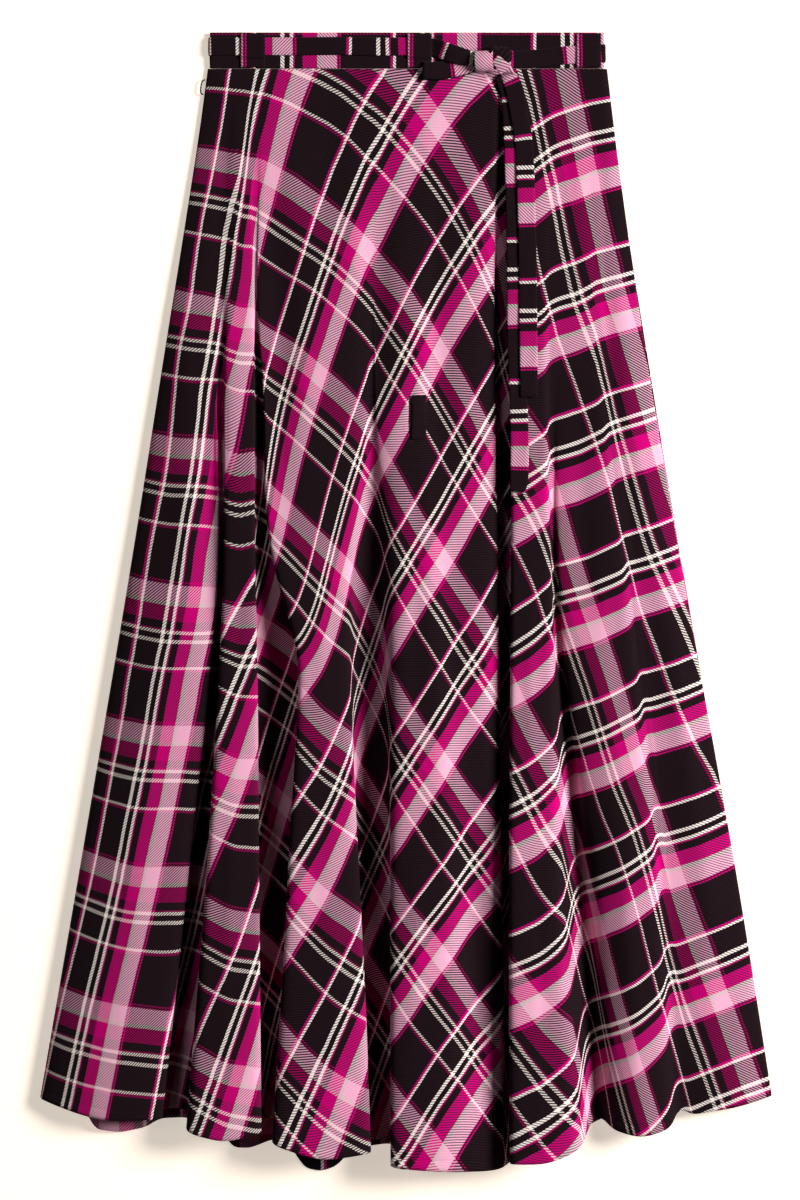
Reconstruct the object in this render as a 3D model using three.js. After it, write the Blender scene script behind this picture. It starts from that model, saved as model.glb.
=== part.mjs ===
// Tie-waist flared maxi skirt in tartan cloth, laid flat on its back panel.
// Millimetres. +X is to the right, +Y is up towards the waist and +Z is up off the surface.
// The front is a quarter-circle panel whose spare width stands in seven flutes.

import * as THREE from 'three';

// Driving sizes
const SCALE = 0.86;            // millimetres for one pixel of the reference picture
const MIDDLE_PX = 406.5;       // picture column and row of the middle of the whole garment
const CENTRE_ROW_PX = 601.5;
const SEAM_ROW_PX = 69.3;      // picture row where the skirt hangs from the waistband
const BAND_TOP_PX = 33;
const BAND_LOW_PX = 68.9;
const BAND_LEFT_PX = 210;
const BAND_RIGHT_PX = 604;
const CLOTH = 1.5;             // wall of the panels
const GAP = 0.3;               // between pieces at seams
const BELT = 1.2;              // thickness of the folded belt
const BELT_WIDTH = 15.5;
const BELT_LEFT_ROW_PX = 47;   // picture rows of the belt's middle at the two sides of the band
const BELT_RIGHT_ROW_PX = 54;
const LOOP = 1;                // thickness and width of the belt loops
const LOOP_WIDTH = 21;

const X = (px) => (px - MIDDLE_PX) * SCALE;
const Y = (py) => (CENTRE_ROW_PX - py) * SCALE;
const mix = (a, b, f) => a + (b - a) * f;
const clamp01 = (f) => Math.min(1, Math.max(0, f));

const BACK_TOP = CLOTH;                       // top face of the back panel
const FLOOR = BACK_TOP + GAP + CLOTH / 2;     // lowest place of the front's middle surface

// Levels down the front, as fractions of the flat length from waist seam to hem
const LEVELS = [0, 0.085, 0.254, 0.484, 0.755, 1];

// Flutes from left to right: crest heights in mm at each level, and hem rows (left edge, crest, right edge)
const FLUTES = [
  { name: 'side',   height: [2, 4, 10, 16, 19, 22],  hem: [1096, 1119, 1117] },
  { name: 'second', height: [2, 5, 13, 21, 28, 32], hem: [1127, 1139, 1127] },
  { name: 'third',  height: [2, 5, 14, 23, 30, 34], hem: [1137, 1157, 1148] },
  { name: 'middle', height: [2, 5, 15, 27, 32, 34], hem: [1163, 1168, 1168] },
  { name: 'fifth',  height: [2, 5, 14, 25, 33, 36], hem: [1160, 1160, 1144] },
  { name: 'sixth',  height: [2, 4, 11, 19, 24, 25], hem: [1127, 1135, 1125] },
  { name: 'last',   height: [2, 3.5, 8.5, 13, 13, 12],  hem: [1114, 1107, 1094] },
];

// The two side edges: flat angle in degrees and picture column at each level
const LEFT_EDGE = [[0.3, 210], [0.8, 197], [0.9, 169], [0.8, 132.5], [0.8, 86], [0.9, 43]];
const RIGHT_EDGE = [[81.2, 605], [82.6, 618], [83.5, 645], [82.5, 684], [81.6, 731], [81.4, 770]];

// Folds between the flutes, a row for each level:
// flat angle and column of the left flute's edge, columns of the two turns under it,
// column and flat angle of the right flute's edge, and how far it sinks (1 is down to the back)
const FOLDS = [
  [
    [6.2, 235, 239, 243, 247, 7.8, 0],
    [6.9, 228, 232, 236, 240, 7.9, 0],
    [7.2, 216, 219, 224, 227, 8.6, 0.25],
    [8, 218, 211, 235, 224, 11, 0.8],
    [8.7, 190, 180, 222, 208, 13.8, 1],
    [7.9, 163, 150, 203, 188, 14, 1],
  ],
  [
    [10.2, 257, 261, 265, 269, 12.2, 0],
    [10.3, 251, 254, 260, 264, 12.1, 0.15],
    [11.2, 254, 250, 270, 260, 15.8, 0.8],
    [14, 257, 243, 311, 298, 25, 1],
    [16.9, 259, 232, 318, 288, 26.9, 1],
    [18, 262, 236, 305, 271, 26.5, 1],
  ],
  [
    [33, 367, 372, 377, 382, 35.5, 0],
    [33, 366, 371, 376, 381, 35.5, 0],
    [32.4, 364, 369, 374, 379, 35.2, 0.1],
    [30.3, 349, 353, 384, 391, 38.5, 0.75],
    [32.5, 360, 345, 405, 391, 39.7, 1],
    [31.7, 373, 340, 424, 388, 41.5, 1],
  ],
  [
    [59.2, 493, 497, 502, 506, 61.2, 0.1],
    [57.8, 493, 491, 514, 512, 63, 0.7],
    [55.6, 494, 480, 524, 512, 68.3, 1],
    [51.5, 500, 472, 533, 511, 66.2, 1],
    [48.4, 503, 475, 535, 509, 64, 1],
    [47.8, 502, 515, 540, 509, 62.2, 0.93],
  ],
  [
    [70.2, 550, 555, 560, 565, 73, 0],
    [70.2, 546, 551, 556, 561, 72.8, 0],
    [71.2, 544, 548, 553, 558, 73.2, 0.15],
    [70.1, 551, 550, 566, 560, 71.9, 0.65],
    [66.9, 562, 572, 586, 592, 71.2, 1],
    [65, 580, 590, 604, 612, 70.7, 1],
  ],
  [
    [77, 584, 589, 594, 598, 79.6, 0],
    [77, 586, 591, 596, 601, 79.6, 0],
    [77, 594, 599, 604, 609, 79.3, 0],
    [77.4, 624, 629, 634, 639, 79.2, 0.15],
    [76.6, 652, 656, 665, 668, 78, 0.35],
    [75, 675, 677, 691, 689, 77.15, 0.6],
  ],
];

// Height of the two edges beside each fold over that of the crest: left flute's edge, right flute's edge
const EDGE_SHARES = [[0.9, 0.95], [0.9, 1], [0.85, 1], [0.45, 1], [0.9, 0.6], [0.85, 0.75]];
const SHOULDER_FALL = 0.45;    // part of an edge's drop that is reached at the shoulder beside it
const SHOULDER_AT = 0.22;      // where the shoulders stand across the flute
const SHOULDER_HEM = 0.55;     // share of the way that the hem falls from the edge to the crest there
const SIDE_HEIGHT = 0.35;      // height of the panel's two sides over the crest
const MOST_PUSH = 9;           // mm that an edge's control point is pushed out, at most
const SIDE_TUCK = 1.5;         // mm that the side edges stand out at the waist and turn in lower down
const SIDE_TUCK_FULL = 0.2;
const FOLD_HEM_RISE = 10;      // a sunk fold's hem ends this many rows higher
const BIAS_STRETCH = 0.16;     // the cloth hangs longer on the bias, most near the hip
const BIAS_FROM = 5;           // degrees where that stretch starts
const BIAS_FULL = 25;

// Value of a column of a table at fraction t down the panel
function atLevel(values, t) {
  let i = 0;
  while (i < LEVELS.length - 2 && t > LEVELS[i + 1]) i += 1;
  const f = (t - LEVELS[i]) / (LEVELS[i + 1] - LEVELS[i]);
  const slope = (k) => {
    const a = Math.max(0, k - 1);
    const b = Math.min(values.length - 1, k + 1);
    return (values[b] - values[a]) / (LEVELS[b] - LEVELS[a]);
  };
  const span = LEVELS[i + 1] - LEVELS[i];
  const f2 = f * f;
  const f3 = f2 * f;
  return values[i] * (2 * f3 - 3 * f2 + 1) + slope(i) * span * (f3 - 2 * f2 + f)
    + values[i + 1] * (3 * f2 - 2 * f3) + slope(i + 1) * span * (f3 - f2);
}

const rowAt = (rows, t) => rows[0].map((_, column) => atLevel(rows.map((row) => row[column]), t));

// How far down the picture a rib of the cloth has come at fraction t
function rowDown(hemRow, angle, t) {
  const bias = BIAS_STRETCH * clamp01((angle - BIAS_FROM) / (BIAS_FULL - BIAS_FROM));
  const share = t + bias * t * (1 - t) * (1 - t);
  return mix(SEAM_ROW_PX, hemRow, share);
}

// The section across the front at fraction t: knots { x, y, z } with how many steps follow each
function frontSection(t) {
  const left = rowAt(LEFT_EDGE, t);
  const right = rowAt(RIGHT_EDGE, t);
  const folds = FOLDS.map((rows) => rowAt(rows, t));
  const knots = [];
  FLUTES.forEach((flute, i) => {
    const crest = atLevel(flute.height, t);
    const before = folds[i - 1];
    const after = folds[i];
    const x0 = before ? before[4] : left[1];
    const x1 = after ? after[1] : right[1];
    const angle0 = before ? before[5] : left[0];
    const angle1 = after ? after[0] : right[0];
    const share0 = before ? mix(1, EDGE_SHARES[i - 1][1], clamp01(before[6])) : SIDE_HEIGHT;
    const share1 = after ? mix(1, EDGE_SHARES[i][0], clamp01(after[6])) : SIDE_HEIGHT;
    const add = (f, share, hemRow, steps, extra = {}) => {
      const y = Y(rowDown(hemRow, mix(angle0, angle1, f), t));
      knots.push({ x: X(mix(x0, x1, f)), y, z: FLOOR + crest * share, steps, ...extra });
    };
    const [hemLeft, hemCrest, hemRight] = flute.hem;
    const tuck = mix(-SIDE_TUCK, SIDE_TUCK, clamp01(t / SIDE_TUCK_FULL));
    if (!before) knots.push({ x: X(x0) + tuck, y: Y(rowDown(hemLeft, angle0, t)), z: FLOOR, steps: 1 });
    add(0, share0, hemLeft, 2, { turn: 1 });
    add(SHOULDER_AT, mix(1, share0, SHOULDER_FALL), mix(hemLeft, hemCrest, SHOULDER_HEM), 1);
    add(0.5, 1, hemCrest, 1);
    add(1 - SHOULDER_AT, mix(1, share1, SHOULDER_FALL), mix(hemRight, hemCrest, SHOULDER_HEM), 2);
    add(1, share1, hemRight, after ? 2 : 1, { turn: 1 });
    if (!after) {
      knots.push({ x: X(x1) - tuck, y: Y(rowDown(hemRight, angle1, t)), z: FLOOR, steps: 0 });
      return;
    }
    const next = FLUTES[i + 1];
    const sink = clamp01(after[6]);
    const level = mix(crest, atLevel(next.height, t), 0.5) * (1 - sink);
    const hemRow = Math.min(hemRight, next.hem[0]) - FOLD_HEM_RISE * sink;
    const angleMid = mix(after[0], after[5], 0.5);
    [after[2], after[3]].forEach((column) => {
      knots.push({ x: X(column), y: Y(rowDown(hemRow, angleMid, t)), z: FLOOR + level, steps: 2 });
    });
  });
  return knots;
}

// Smooth curve along the knots: a uniform cubic B-spline, so no turn is sharp.
// A flute's edge is pushed out first, because such a curve cuts inside its corners.
function splinePoints(knots) {
  const vectors = knots.map((k) => new THREE.Vector3(k.x, k.y, k.z));
  const controls = vectors.map((point, i) => {
    const control = point.clone();
    if (knots[i].turn) {
      const neighbours = (vectors[i - 1].x + vectors[i + 1].x) / 2;
      const push = (point.x - neighbours) / 2;
      control.x += Math.max(-MOST_PUSH, Math.min(MOST_PUSH, push));
    }
    return control;
  });
  const last = controls.length - 1;
  const first = controls[0].clone().multiplyScalar(2).sub(controls[1]);
  const end = controls[last].clone().multiplyScalar(2).sub(controls[last - 1]);
  const padded = [first, ...controls, end];
  const points = [];
  for (let i = 0; i < last; i += 1) {
    const steps = knots[i].steps;
    for (let s = 0; s < steps; s += 1) {
      const f = s / steps;
      const before = 3 * f ** 3 - 6 * f * f + 4;
      const after = -3 * f ** 3 + 3 * f * f + 3 * f + 1;
      const weights = [(1 - f) ** 3, before, after, f ** 3];
      const point = new THREE.Vector3();
      weights.forEach((weight, k) => point.addScaledVector(padded[i + k], weight / 6));
      points.push(point);
    }
  }
  points.push(vectors[last]);
  return points;
}

// Closed solid from a grid of middle points: each is moved half the wall out and half in
function wallFromGrid(grid, wall) {
  const rows = grid.length;
  const columns = grid[0].length;
  const normalAt = (r, c) => {
    const across = grid[r][Math.min(columns - 1, c + 1)].clone().sub(grid[r][Math.max(0, c - 1)]);
    const down = grid[Math.min(rows - 1, r + 1)][c].clone().sub(grid[Math.max(0, r - 1)][c]);
    return down.cross(across).normalize();
  };
  const outer = [];
  const inner = [];
  for (let r = 0; r < rows; r += 1) {
    for (let c = 0; c < columns; c += 1) {
      const normal = normalAt(r, c);
      const out = grid[r][c].clone().addScaledVector(normal, wall / 2);
      const back = grid[r][c].clone().addScaledVector(normal, -wall / 2);
      outer.push(out);
      inner.push(back);
    }
  }
  const positions = [...outer, ...inner].flatMap((point) => [point.x, point.y, point.z]);
  const count = rows * columns;
  const index = [];
  const quad = (a, b, c, d) => index.push(a, b, c, a, c, d);
  for (let r = 0; r < rows - 1; r += 1) {
    for (let c = 0; c < columns - 1; c += 1) {
      const a = r * columns + c;
      const b = a + columns;
      quad(a, b, b + 1, a + 1);
      quad(count + a, count + a + 1, count + b + 1, count + b);
    }
  }
  const rim = [];
  for (let c = 0; c < columns - 1; c += 1) rim.push(c);
  for (let r = 0; r < rows - 1; r += 1) rim.push(r * columns + columns - 1);
  for (let c = columns - 1; c > 0; c -= 1) rim.push((rows - 1) * columns + c);
  for (let r = rows - 1; r > 0; r -= 1) rim.push(r * columns);
  rim.forEach((a, i) => {
    const b = rim[(i + 1) % rim.length];
    quad(a, b, count + b, count + a);
  });
  const geometry = new THREE.BufferGeometry();
  geometry.setAttribute('position', new THREE.Float32BufferAttribute(positions, 3));
  geometry.setIndex(index);
  return geometry;
}

const group = new THREE.Group();
const TARTAN = { color: 0x5a1038, roughness: 0.9, metalness: 0 };

function addPiece(name, geometry, look = TARTAN) {
  const mesh = new THREE.Mesh(geometry, new THREE.MeshStandardMaterial(look));
  mesh.name = name;
  group.add(mesh);
  return mesh;
}

// Front panel
const FRONT_ROWS = 26;
const frontGrid = [];
for (let r = 0; r <= FRONT_ROWS; r += 1) {
  frontGrid.push(splinePoints(frontSection(r / FRONT_ROWS)));
}
addPiece('skirt_front', wallFromGrid(frontGrid, CLOTH));

// Back panel: flat on the surface, with low arches inside the front's flutes near the hem
const BACK_ROWS = 9;
const BACK_COLUMNS = 48;
const BACK_INSET_PX = 2;
const BACK_ARCH_SHARE = 0.3;
const BACK_ARCH_SLOPE = 0.1;   // most height of an arch over its width
const BACK_ARCH_MARGIN_PX = 9; // clear of the turns on each side
const BACK_ARCH_FROM = 0.35;
// Hem of the back: it shows below the front in a few places. Columns: picture column, picture row
const BACK_HEM = [
  [43, 1094], [84, 1104], [94, 1128], [120, 1132], [146, 1127], [160, 1118], [186, 1117], [222, 1128],
  [231, 1147], [250, 1148], [275, 1138], [294, 1150], [303, 1167], [320, 1171], [337, 1166], [352, 1148],
  [388, 1143], [430, 1150], [505, 1152], [562, 1138], [604, 1117], [680, 1105], [770, 1091],
];

function backHemRow(column) {
  let i = 0;
  while (i < BACK_HEM.length - 2 && column > BACK_HEM[i + 1][0]) i += 1;
  const [x0, row0] = BACK_HEM[i];
  const [x1, row1] = BACK_HEM[i + 1];
  return mix(row0, row1, clamp01((column - x0) / (x1 - x0)));
}

// Height of the arches: one inside each flute of the front, clear of its folds
function backArch(column, t) {
  const folds = FOLDS.map((rows) => rowAt(rows, t));
  const lows = [rowAt(LEFT_EDGE, t)[1], ...folds.map((fold) => Math.max(fold[3], fold[4]))];
  const highs = [...folds.map((fold) => Math.min(fold[1], fold[2])), rowAt(RIGHT_EDGE, t)[1]];
  const rise = clamp01((t - BACK_ARCH_FROM) / (1 - BACK_ARCH_FROM));
  return FLUTES.reduce((most, flute, i) => {
    const low = lows[i] + BACK_ARCH_MARGIN_PX;
    const width = highs[i] - BACK_ARCH_MARGIN_PX - low;
    const f = (column - low) / width;
    if (width <= 0 || f <= 0 || f >= 1) return most;
    const height = Math.min(atLevel(flute.height, t) * BACK_ARCH_SHARE, width * SCALE * BACK_ARCH_SLOPE);
    return Math.max(most, rise * height * Math.sin(Math.PI * f) ** 2);
  }, 0);
}

const backGrid = [];
for (let r = 0; r <= BACK_ROWS; r += 1) {
  const t = r / BACK_ROWS;
  const left = rowAt(LEFT_EDGE, t)[1] + BACK_INSET_PX;
  const right = rowAt(RIGHT_EDGE, t)[1] - BACK_INSET_PX;
  const hemLeft = rowAt(LEFT_EDGE, 1)[1] + BACK_INSET_PX;
  const hemRight = rowAt(RIGHT_EDGE, 1)[1] - BACK_INSET_PX;
  const line = [];
  for (let c = 0; c <= BACK_COLUMNS; c += 1) {
    const f = c / BACK_COLUMNS;
    const column = mix(left, right, f);
    const row = mix(SEAM_ROW_PX, backHemRow(mix(hemLeft, hemRight, f)), t);
    line.push(new THREE.Vector3(X(column), Y(row), CLOTH / 2 + backArch(column, t)));
  }
  backGrid.push(line);
}
addPiece('skirt_back', wallFromGrid(backGrid, CLOTH));

// Waistband: one flattened ring, its two layers close together
const BAND_WALL = 1.4;
const BAND_LOW_Z = BELT + GAP;
const BAND_HIGH_Z = 5.1;
const BAND_TURN = (BAND_HIGH_Z - BAND_LOW_Z) / 2;
const BAND_MIDDLE_Z = BAND_LOW_Z + BAND_TURN;
const TURN_STEPS = 6;

// Points on a half circle round one side of the band, in the X-Z plane
function sideTurn(side, radius) {
  const centreX = side < 0 ? X(BAND_LEFT_PX) + BAND_TURN : X(BAND_RIGHT_PX) - BAND_TURN;
  const points = [];
  for (let i = 0; i <= TURN_STEPS; i += 1) {
    const angle = Math.PI / 2 + side * -1 * Math.PI * (i / TURN_STEPS);
    points.push([centreX + radius * Math.cos(angle), BAND_MIDDLE_Z + radius * Math.sin(angle)]);
  }
  return points;
}

function waistbandGeometry() {
  const loopAt = (radius) => [...sideTurn(-1, radius), ...sideTurn(1, radius).reverse()];
  const outline = new THREE.Shape(loopAt(BAND_TURN).map(([x, z]) => new THREE.Vector2(x, z)));
  const hole = new THREE.Path(loopAt(BAND_TURN - BAND_WALL).map(([x, z]) => new THREE.Vector2(x, z)));
  outline.holes.push(hole);
  const height = (BAND_LOW_PX - BAND_TOP_PX) * SCALE;
  const geometry = new THREE.ExtrudeGeometry(outline, { depth: height, bevelEnabled: false });
  geometry.rotateX(Math.PI / 2);
  geometry.translate(0, Y(BAND_TOP_PX), 0);
  return geometry;
}
addPiece('waistband', waistbandGeometry());

// A flat strap along a route of middle points; side gives the direction across it.
// The width is one number, or one for each point.
function strapGeometry(route, width, thickness, side, across = 2) {
  const grid = [];
  for (let r = 0; r <= across; r += 1) {
    const share = 0.5 - r / across;
    grid.push(route.map((point, i) => {
      const here = Array.isArray(width) ? width[i] : width;
      return point.clone().addScaledVector(side, here * share);
    }));
  }
  return wallFromGrid(grid, thickness);
}

const UP_THE_SKIRT = new THREE.Vector3(0, 1, 0);
const BELT_FRONT_Z = BAND_HIGH_Z + GAP + BELT / 2;
const BELT_TURN = BAND_TURN + GAP + BELT / 2;

// Belt: the stretch behind the band, and the two stretches from the sides to the knot
const BACK_STRETCH_INSET = 12; // from each side of the band to the ends of the stretch behind it
const backLeft = X(BAND_LEFT_PX) + BACK_STRETCH_INSET;
const backRight = X(BAND_RIGHT_PX) - BACK_STRETCH_INSET;
const backBeltRoute = [
  new THREE.Vector3(backLeft + GAP, Y(BELT_LEFT_ROW_PX), BELT / 2),
  new THREE.Vector3(0, Y(mix(BELT_LEFT_ROW_PX, BELT_RIGHT_ROW_PX, 0.5)), BELT / 2),
  new THREE.Vector3(backRight - GAP, Y(BELT_RIGHT_ROW_PX), BELT / 2),
];
addPiece('belt_back', strapGeometry(backBeltRoute, BELT_WIDTH, BELT, UP_THE_SKIRT));

const KNOT = { column: 488.5, row: 61.5, width: 24, height: 21, low: 5.8, high: 18, squareness: 0.6 };
const BELT_UNDER_KNOT = 1;     // on the right the belt ends under the knot's rounded edge
const knotLeft = X(KNOT.column) - KNOT.width / 2;
const knotRight = X(KNOT.column) + KNOT.width / 2;

// The two front stretches. Columns: picture column, picture row, rise in mm off the band
const LEFT_STRETCH = [
  [300, 47, 0], [360, 47.5, 0], [410, 47, 0], [432, 48, 0], [436, 49, 0.9], [441, 50.5, 2.6],
  [448, 53.5, 4.8], [456, 56, 5.4], [465, 58.5, 5.6],
];
const RIGHT_STRETCH = [
  [508, 60, 0.7], [516, 60, 0.3], [524, 60, 0], [540, 59, 0], [556, 57, 0], [572, 55.5, 0], [590, 55.5, 0],
  [597, 54.5, 0],
];
const LEFT_INTO_KNOT = [60, 5.6];
const RIGHT_INTO_KNOT = [60, 0.8];
const beltTurnPoints = (side, row) => sideTurn(side, BELT_TURN)
  .map(([x, z]) => new THREE.Vector3(x, Y(row), z));
const frontPoint = ([column, row, rise]) => new THREE.Vector3(X(column), Y(row), BELT_FRONT_Z + rise);
const knotPoint = (x, [row, rise]) => new THREE.Vector3(x, Y(row), BELT_FRONT_Z + rise);
const leftRoute = [
  new THREE.Vector3(backLeft, Y(BELT_LEFT_ROW_PX), BELT / 2),
  ...beltTurnPoints(-1, BELT_LEFT_ROW_PX).reverse(),
  ...LEFT_STRETCH.map(frontPoint),
  knotPoint(knotLeft - GAP, LEFT_INTO_KNOT),
];
addPiece('belt_left', strapGeometry(leftRoute, BELT_WIDTH, BELT, UP_THE_SKIRT));
const rightRoute = [
  knotPoint(knotRight - BELT_UNDER_KNOT, RIGHT_INTO_KNOT),
  ...RIGHT_STRETCH.map(frontPoint),
  ...beltTurnPoints(1, BELT_RIGHT_ROW_PX),
  new THREE.Vector3(backRight, Y(BELT_RIGHT_ROW_PX), BELT / 2),
];
addPiece('belt_right', strapGeometry(rightRoute, BELT_WIDTH, BELT, UP_THE_SKIRT));

// Belt loops: each lies on the band above and below the belt and bridges it.
// Route columns: picture row, and 1 where it is raised over the belt
const LOOP_LOW_Z = BAND_HIGH_Z + GAP + LOOP / 2;
const LOOP_HIGH_Z = BAND_HIGH_Z + 2 * GAP + BELT + LOOP / 2;
const LOOP_ROUTE = [[34, 0], [35, 0], [36.6, 1], [46, 1], [57.6, 1], [59.4, 0], [67.8, 0]];
const LOW_LOOP_ROUTE = [[34, 0], [36, 0], [42.8, 0], [44.6, 1], [55, 1], [66.2, 1], [68.2, 0]];
const LOOPS = [
  { name: 'left', column: 253, route: LOOP_ROUTE },
  { name: 'centre', column: 419.5, route: LOOP_ROUTE },
  { name: 'right', column: 588.5, route: LOW_LOOP_ROUTE },
];
const ACROSS = new THREE.Vector3(-1, 0, 0);
LOOPS.forEach(({ name, column, route: rows }) => {
  const route = rows.map(([row, up]) => (
    new THREE.Vector3(X(column), Y(row), mix(LOOP_LOW_Z, LOOP_HIGH_Z, up))));
  addPiece(`belt_loop_${name}`, strapGeometry(route, LOOP_WIDTH, LOOP, ACROSS.clone().negate()));
});

// Knot: a rounded block, flattened below
function knotGeometry() {
  const geometry = new THREE.SphereGeometry(1, 16, 12);
  const position = geometry.attributes.position;
  const square = (value) => Math.sign(value) * Math.abs(value) ** KNOT.squareness;
  for (let i = 0; i < position.count; i += 1) {
    position.setXYZ(
      i,
      X(KNOT.column) + square(position.getX(i)) * KNOT.width / 2,
      Y(KNOT.row) + square(position.getY(i)) * KNOT.height / 2,
      mix(KNOT.low, KNOT.high, (square(position.getZ(i)) + 1) / 2),
    );
  }
  return geometry;
}
addPiece('belt_knot', knotGeometry());

// The bow's one loop: a strap that leaves the knot, turns back and returns to it, under the belt.
// Columns: picture column, picture row, height in mm, width in mm
const BOW_ROWS = [
  [474, 66.5, 6.6, 9], [466, 68.5, 6.4, 12], [452, 70.5, 6.4, 15], [442, 71.5, 6.7, 15.5],
  [434, 71.5, 7.4, 15.5], [428, 71.5, 7.4, 15.5], [424.5, 71.5, 7.6, 15.5], [423, 71.5, 8.5, 15.5],
  [424.5, 71.5, 9.4, 15.5], [428, 71.5, 9.6, 15.5], [436, 71.5, 9.5, 15.5], [448, 70.8, 8.8, 15.2],
  [456, 70, 8.7, 14], [466, 68.5, 8.7, 12], [474, 66.5, 8.8, 9],
];
const bowRoute = BOW_ROWS.map(([column, row, height]) => new THREE.Vector3(X(column), Y(row), height));
const bowWidths = BOW_ROWS.map((row) => row[3]);
addPiece('bow_loop_left', strapGeometry(bowRoute, bowWidths, BELT, UP_THE_SKIRT.clone().negate()));

// Height of the front panel's outer face under a strap at this place
const REST_MARGIN = 4;         // beside the strap
const REST_REACH = 42;         // and along it
function restHeight(x, y) {
  const reachX = BELT_WIDTH / 2 + REST_MARGIN;
  const reachY = REST_REACH;
  const near = frontGrid.flat().filter((p) => Math.abs(p.x - x) < reachX && Math.abs(p.y - y) < reachY);
  return Math.max(BAND_HIGH_Z, ...near.map((p) => p.z + CLOTH / 2));
}

// Tie ends: they hang from the knot down the front, the rear one longer.
// Columns: picture column, picture row, width in mm
const TIE_ENDS = {
  rear: [
    [499, 75.4, 9], [504, 84, 12], [510, 100, 15.5], [512.5, 140, 15.5], [514, 190, 15.5], [515, 240, 15.5],
    [515.5, 290, 15.5], [516, 340, 15.5], [517.5, 390, 15.5], [519, 440, 15.5], [519.5, 480, 15.5],
    [516, 492, 11],
  ],
  front: [
    [499, 75.4, 9], [505, 82, 12], [513, 92, 15.5], [519, 115, 15.5], [523.5, 145, 15.5], [525, 175, 15.5],
    [526, 205, 15.5], [527, 250, 15.5], [527.5, 300, 15.5], [528, 350, 15.5], [528.5, 398, 15],
  ],
};
const rearHeights = TIE_ENDS.rear.map(([column, row]) => (
  restHeight(X(column), Y(row)) + GAP + BELT / 2));
const REAR_REACH_PX = 55;      // the front end clears the rear one this far along
const rearHeightAt = (row) => Math.max(...TIE_ENDS.rear
  .map(([, otherRow], i) => (Math.abs(otherRow - row) < REAR_REACH_PX ? rearHeights[i] : 0)));
Object.entries(TIE_ENDS).forEach(([name, rows]) => {
  const route = rows.map(([column, row], i) => {
    const height = name === 'rear'
      ? rearHeights[i]
      : Math.max(rearHeightAt(row) + GAP + BELT, restHeight(X(column), Y(row)) + GAP + BELT / 2);
    return new THREE.Vector3(X(column), Y(row), height);
  });
  const widths = rows.map((row) => row[2]);
  addPiece(`tie_end_${name}`, strapGeometry(route, widths, BELT, ACROSS.clone().negate()));
});

// Thread loop on the left side seam, just below the band
const THREAD = {
  radius: 0.8, topRow: 80, lowRow: 95, reach: 3, height: 3.4, clear: 1.3, level: 0.02, lean: 1.6, steps: 14,
};
const threadX = X(rowAt(LEFT_EDGE, THREAD.level)[1]) - THREAD.clear;
const threadPath = new THREE.CatmullRomCurve3([
  [0, 0], [0.8, 0.12], [1, 0.5], [0.8, 0.88], [0, 1],
].map(([out, down]) => new THREE.Vector3(
  threadX - out * THREAD.reach - down * THREAD.lean,
  Y(mix(THREAD.topRow, THREAD.lowRow, down)),
  THREAD.height,
)));
const threadSection = new THREE.Shape();
threadSection.absarc(0, 0, THREAD.radius, 0, 2 * Math.PI);
addPiece('thread_loop_left', new THREE.ExtrudeGeometry(
  threadSection,
  { steps: THREAD.steps, curveSegments: 4, bevelEnabled: false, extrudePath: threadPath },
), { color: 0x1c1518, roughness: 0.9, metalness: 0 });

export default group;
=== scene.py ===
"""Tie-waist flared maxi skirt in plaid twill, laid flat: the finish over the CAD frame.

Metres, +X right, +Y towards the waist, +Z up. Places are read off the reference picture in its
own pixels (800 by 1200) and turned into metres by x_of and y_of.
"""
import math

import bpy
import numpy as np
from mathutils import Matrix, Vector


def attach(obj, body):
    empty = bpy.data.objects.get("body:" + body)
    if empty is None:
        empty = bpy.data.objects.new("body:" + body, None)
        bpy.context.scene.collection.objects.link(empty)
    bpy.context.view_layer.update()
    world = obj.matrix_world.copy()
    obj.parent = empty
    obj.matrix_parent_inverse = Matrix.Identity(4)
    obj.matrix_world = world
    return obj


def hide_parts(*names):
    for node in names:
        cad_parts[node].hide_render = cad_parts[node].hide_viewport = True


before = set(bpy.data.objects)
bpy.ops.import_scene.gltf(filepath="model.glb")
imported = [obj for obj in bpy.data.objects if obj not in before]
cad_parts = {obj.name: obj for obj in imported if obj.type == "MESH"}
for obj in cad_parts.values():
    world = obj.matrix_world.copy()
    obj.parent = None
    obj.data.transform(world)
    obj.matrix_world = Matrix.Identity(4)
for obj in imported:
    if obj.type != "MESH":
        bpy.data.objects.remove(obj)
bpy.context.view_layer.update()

# Driving sizes, the same as the solids'
SCALE = 0.00086
MIDDLE_PX = 406.5
CENTRE_ROW_PX = 601.5
SEAM_ROW_PX = 69.3
BAND_TOP_PX = 33
BAND_LOW_PX = 68.9
BAND_LEFT_PX = 210
BAND_RIGHT_PX = 604
APEX_TO_SEAM = 275
APEX_TO_HEM = 1318
SOLID_WALL = 0.0015
FLOOR_Z = SOLID_WALL + 0.0003 + SOLID_WALL / 2
CLOTH = 0.0009
MM = 0.001


def x_of(column):
    return (column - MIDDLE_PX) * SCALE


def y_of(row):
    return (CENTRE_ROW_PX - row) * SCALE


def column_of(x):
    return x / SCALE + MIDDLE_PX


def mix(a, b, f):
    return a + (b - a) * f


def clamp01(f):
    return min(1.0, max(0.0, f))


def unit(vectors):
    return vectors / np.linalg.norm(vectors, axis=-1, keepdims=True)


def run_along(path):
    return np.concatenate([[0], np.cumsum(np.linalg.norm(np.diff(path, axis=0), axis=1))])


def blurred(values, count):
    """Values smoothed over an odd number of neighbours."""
    kernel = np.hanning(count + 2)[1:-1]
    return np.convolve(np.pad(values, count // 2, mode="edge"), kernel / kernel.sum(), "valid")


def placed(name, data):
    """New object in the scene."""
    made = bpy.data.objects.new(name, data)
    bpy.context.scene.collection.objects.link(made)
    return made


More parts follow.
